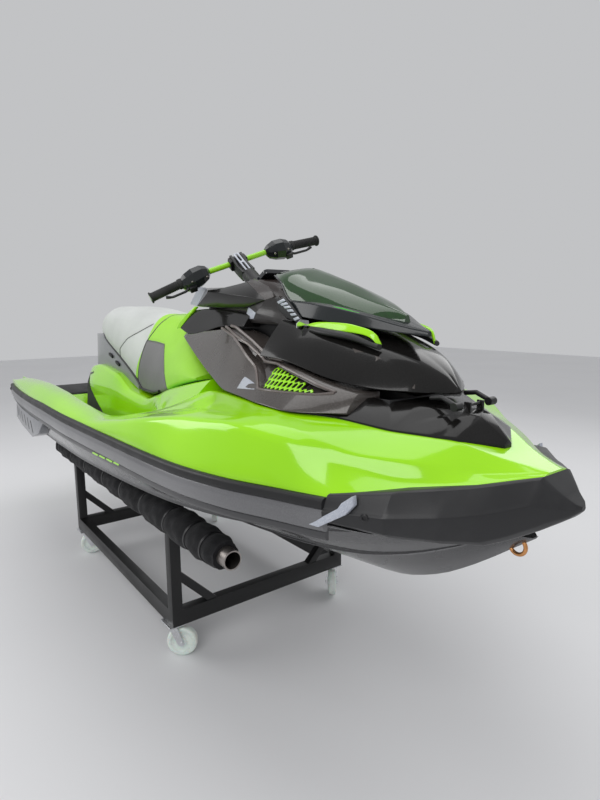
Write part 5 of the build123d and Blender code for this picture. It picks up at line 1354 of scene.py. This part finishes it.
def add_controls():
    modules, grips, levers, screws = [], [], [], []
    for side in (-1, 1):
        modules.append(module_shape(side))
        grips.append(grip_shape(side))
        path = bent([(a, side * b, c) for b, a, c in LEVER], 9)
        width = np.interp(np.linspace(0, 1, len(path)), [0, 0.2, 0.85, 1], [6.5, 5.0, 4.6, 6.2])
        levers.append(tube(path, width, 12))
        levers.append(box_shape(-30, -8, *sorted((side * 196, side * 224)), -52, -30))
        for b in (148, 208):
            screws.append(placed(screw_shape(4.5, 2.5), (10, side * b, -41.1), (1, 0, 0), (0, 0, -1)))
    for name, shapes, material, slot, replaced, extra in (
            ("switch_housings", modules, VISOR_BLACK, "moulded_black", ["control_modules"],
             dict(bevel=1.2, crease=12)),
            ("grip_sleeves", grips, GRIP, "grip_rubber", ["grips"], dict(crease=30)),
            ("brake_levers", levers, TRIM_BLACK, "moulded_black", ["control_levers"], dict(bevel=1.5)),
            ("housing_screws", screws, STEEL, "bare_steel", (), {})):
        piece(name, steered(joined(*shapes)), material, "steering", slot, replaced, **extra)


def add_clamp():
    forks = [shell_of([(a, b, c) for a, c in FORK], [tuple(range(len(FORK)))], (0, 11, 0)) for b in (-27, 16)]
    points, faces = plate(round_rect(46, 74, 8), 30)
    riser = lathe([(-99, 0), (-99, 20), (-20, 20), (-20, 0)], 32)
    forks += [(points + [0, 0, -19], faces), placed(riser, (0, 0, 0), (0, 0, 1), (1, 0, 0))]
    piece("bar_forks", steered(joined(*forks)), TRIM_BLACK, "steering", "moulded_black", ["bar_clamp"],
          bevel=2.0)
    ladder = shell_of([(34, -11, 10), (34, 11, 10), (25, 11, -96), (25, -11, -96)], [(0, 3, 2, 1)],
                      (-4, 0, 0))
    holes = [placed(plate(round_rect(9, 46, 4.4), 40), (10, 0, c), (0, 1, 0), (1, 0, 0)) for c in (-18, -72)]
    piece("bar_ladder", steered(minus(ladder, holes)), SILVER, "steering", "bare_steel", bevel=0.8)
    caps = [placed(screw_shape(6, 5), (u, v, 11), (1, 0, 0), (0, 0, 1)) for u in (-15, 15) for v in (-28, 28)]
    piece("clamp_bolts", steered(joined(*caps)), STEEL, "steering", "bare_steel")


# Bunk pads, tied round their pipes

PAD_TIES = [-890, -640, -420, -170, 40, 250, 470, 640, 750]
PAD_AFT, PAD_FORE, PAD_Y, PAD_Z, BORE_RADIUS = -958, 818, 400, 556, 30.5
PAD_SIDES, TIE_SIDES = 72, 48
POST_XS, POST_Y, POST_HALF = (-745, 410), 389, 20.3


def pad_shape(side):
    """Wrapped foam round the pipe: radius 57 at the middle of a bay, drawn in to 49 at each tie by
    exp(-(d / 26)^2), with slack folds such as sin(9a + x / 31) that fade at the ties. Its two ends are drawn
    in as well."""
    x = np.arange(PAD_AFT, PAD_FORE + 0.1, 6.0)
    a = full_turn(PAD_SIDES)
    xx, aa = np.meshgrid(x, a, indexing="ij")
    pull = np.exp(-((xx[..., None] - PAD_TIES) / 26)**2).max(-1)
    ends = np.exp(-((xx - PAD_AFT) / 20)**2) + np.exp(-((xx - PAD_FORE) / 34)**2)
    folds = np.sin(9 * aa + xx / 31) + 0.8 * np.sin(5 * aa - xx / 13 + 1) + 0.7 * np.sin(3 * aa + xx / 9)
    folds *= 1 - pull
    r = 57.0 - 8.0 * pull - 14 * np.clip(ends, 0, 1) + 1.15 * folds
    bore_ends = np.full((2, PAD_SIDES), x[[0, -1]][:, None])
    xx, aa = np.vstack([xx, bore_ends]), np.vstack([aa, a, a])
    r = np.vstack([r, np.full((2, PAD_SIDES), BORE_RADIUS)])
    points = np.stack([xx, side * PAD_Y + r * np.cos(aa), PAD_Z + r * np.sin(aa)], -1).reshape(-1, 3)
    last, bore = (len(x) - 1) * PAD_SIDES, len(x) * PAD_SIDES
    faces = ring_faces(len(x), PAD_SIDES)
    for first, second in ((0, bore), (last, bore + PAD_SIDES), (bore, bore + PAD_SIDES)):
        faces += ring_between(first, second, PAD_SIDES)
    return points, faces


def tie_shape(side, number):
    """Flat band round the pad at one of its ties, a little askew."""
    a = full_turn(TIE_SIDES)
    along = PAD_TIES[number] + 7 * np.sin(a + number)
    rows = [(-5, 49.6), (-5, 51.4), (5, 51.4), (5, 49.6), (-5, 49.6)]
    rings = [np.c_[u + along, side * PAD_Y + r * np.cos(a), PAD_Z + r * np.sin(a)] for u, r in rows]
    return np.concatenate(rings), ring_faces(len(rows), TIE_SIDES)


def add_pads():
    for name, side in (("starboard", -1), ("port", 1)):
        low, high = side * POST_Y - POST_HALF, side * POST_Y + POST_HALF
        posts = [box_shape(x - POST_HALF, x + POST_HALF, low, high, 480, 540) for x in POST_XS]
        body = piece("pad_" + name, pad_shape(side), WRAP, "craft", "bunk_wrap", ["bunk_pad_" + name],
                     cuts=posts, crease=50)
        ties = joined(*[tie_shape(side, number) for number in range(len(PAD_TIES))])
        piece("pad_ties_" + name, ties, TRIM_BLACK, "craft", "bunk_wrap")


# Caster wheels and the frame's soft edges

HALF_WHEEL = [
    (-19, 5.4), (-19, 15), (-18, 16), (-12, 17.5), (-10, 22), (-10, 36), (-12, 40), (-15, 42), (-16, 50),
    (-14.5, 54), (-11, 56), (-4, 56.6),
]
WHEEL = HALF_WHEEL + [(-x, r) for x, r in reversed(HALF_WHEEL)] + HALF_WHEEL[:1]
TRAIL, AXLE_Z = 32, 56
# x, y and swivel angle of each caster
CASTERS = [("front_starboard", 385, -389, 232.6), ("front_port", 385, 389, 142.6),
           ("rear_starboard", -720, -389, 250.0), ("rear_port", -720, 389, 150.0)]


def add_wheels():
    for name, x, y, swivel in CASTERS:
        a = radians(swivel)
        spot = (x - TRAIL * cos(a), y - TRAIL * sin(a), AXLE_Z)
        wheel = placed(lathe(WHEEL, 56), spot, (-sin(a), cos(a), 0), (0, 0, 1))
        piece("wheel_" + name, wheel, NYLON, "wheel_" + name, "caster_white", ["caster_wheel_" + name],
              crease=40)


SOFT_EDGES = [
    ("cradle_frame", FRAME_BLACK, "craft", "frame_paint", 2.5), ("caster_plates", ZINC, "craft", "zinc", 1.0),
    ("nose_panel", GLOSS_BLACK, "craft", "gloss_black", 3.0),
    ("ride_plate", TRIM_BLACK, "craft", "moulded_black", 2.0),
    ("intake_grate", CAST, "craft", "cast_aluminium", 1.5),
    ("reverse_bucket", TRIM_BLACK, "bucket", "moulded_black", 1.5),
    ("engine_block", CAST, "craft", "cast_aluminium", 8.0),
    ("storage_bin", TRIM_BLACK, "craft", "moulded_black", 2.0), ("foot_mats", MAT, "craft", "deck_mat", 2.5),
]


def soften_solids():
    """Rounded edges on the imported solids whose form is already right."""
    for row in SOFT_EDGES:
        eased(*row)


for step in (soften_solids, add_hull, add_deck, add_rails, add_sponsons, add_seat, add_seat_trim,
             add_side_panels, add_hood, add_windscreen, add_mirrors, add_vents, add_hood_hinges, add_console,
             add_controls, add_clamp, add_pads, add_wheels):
    step()
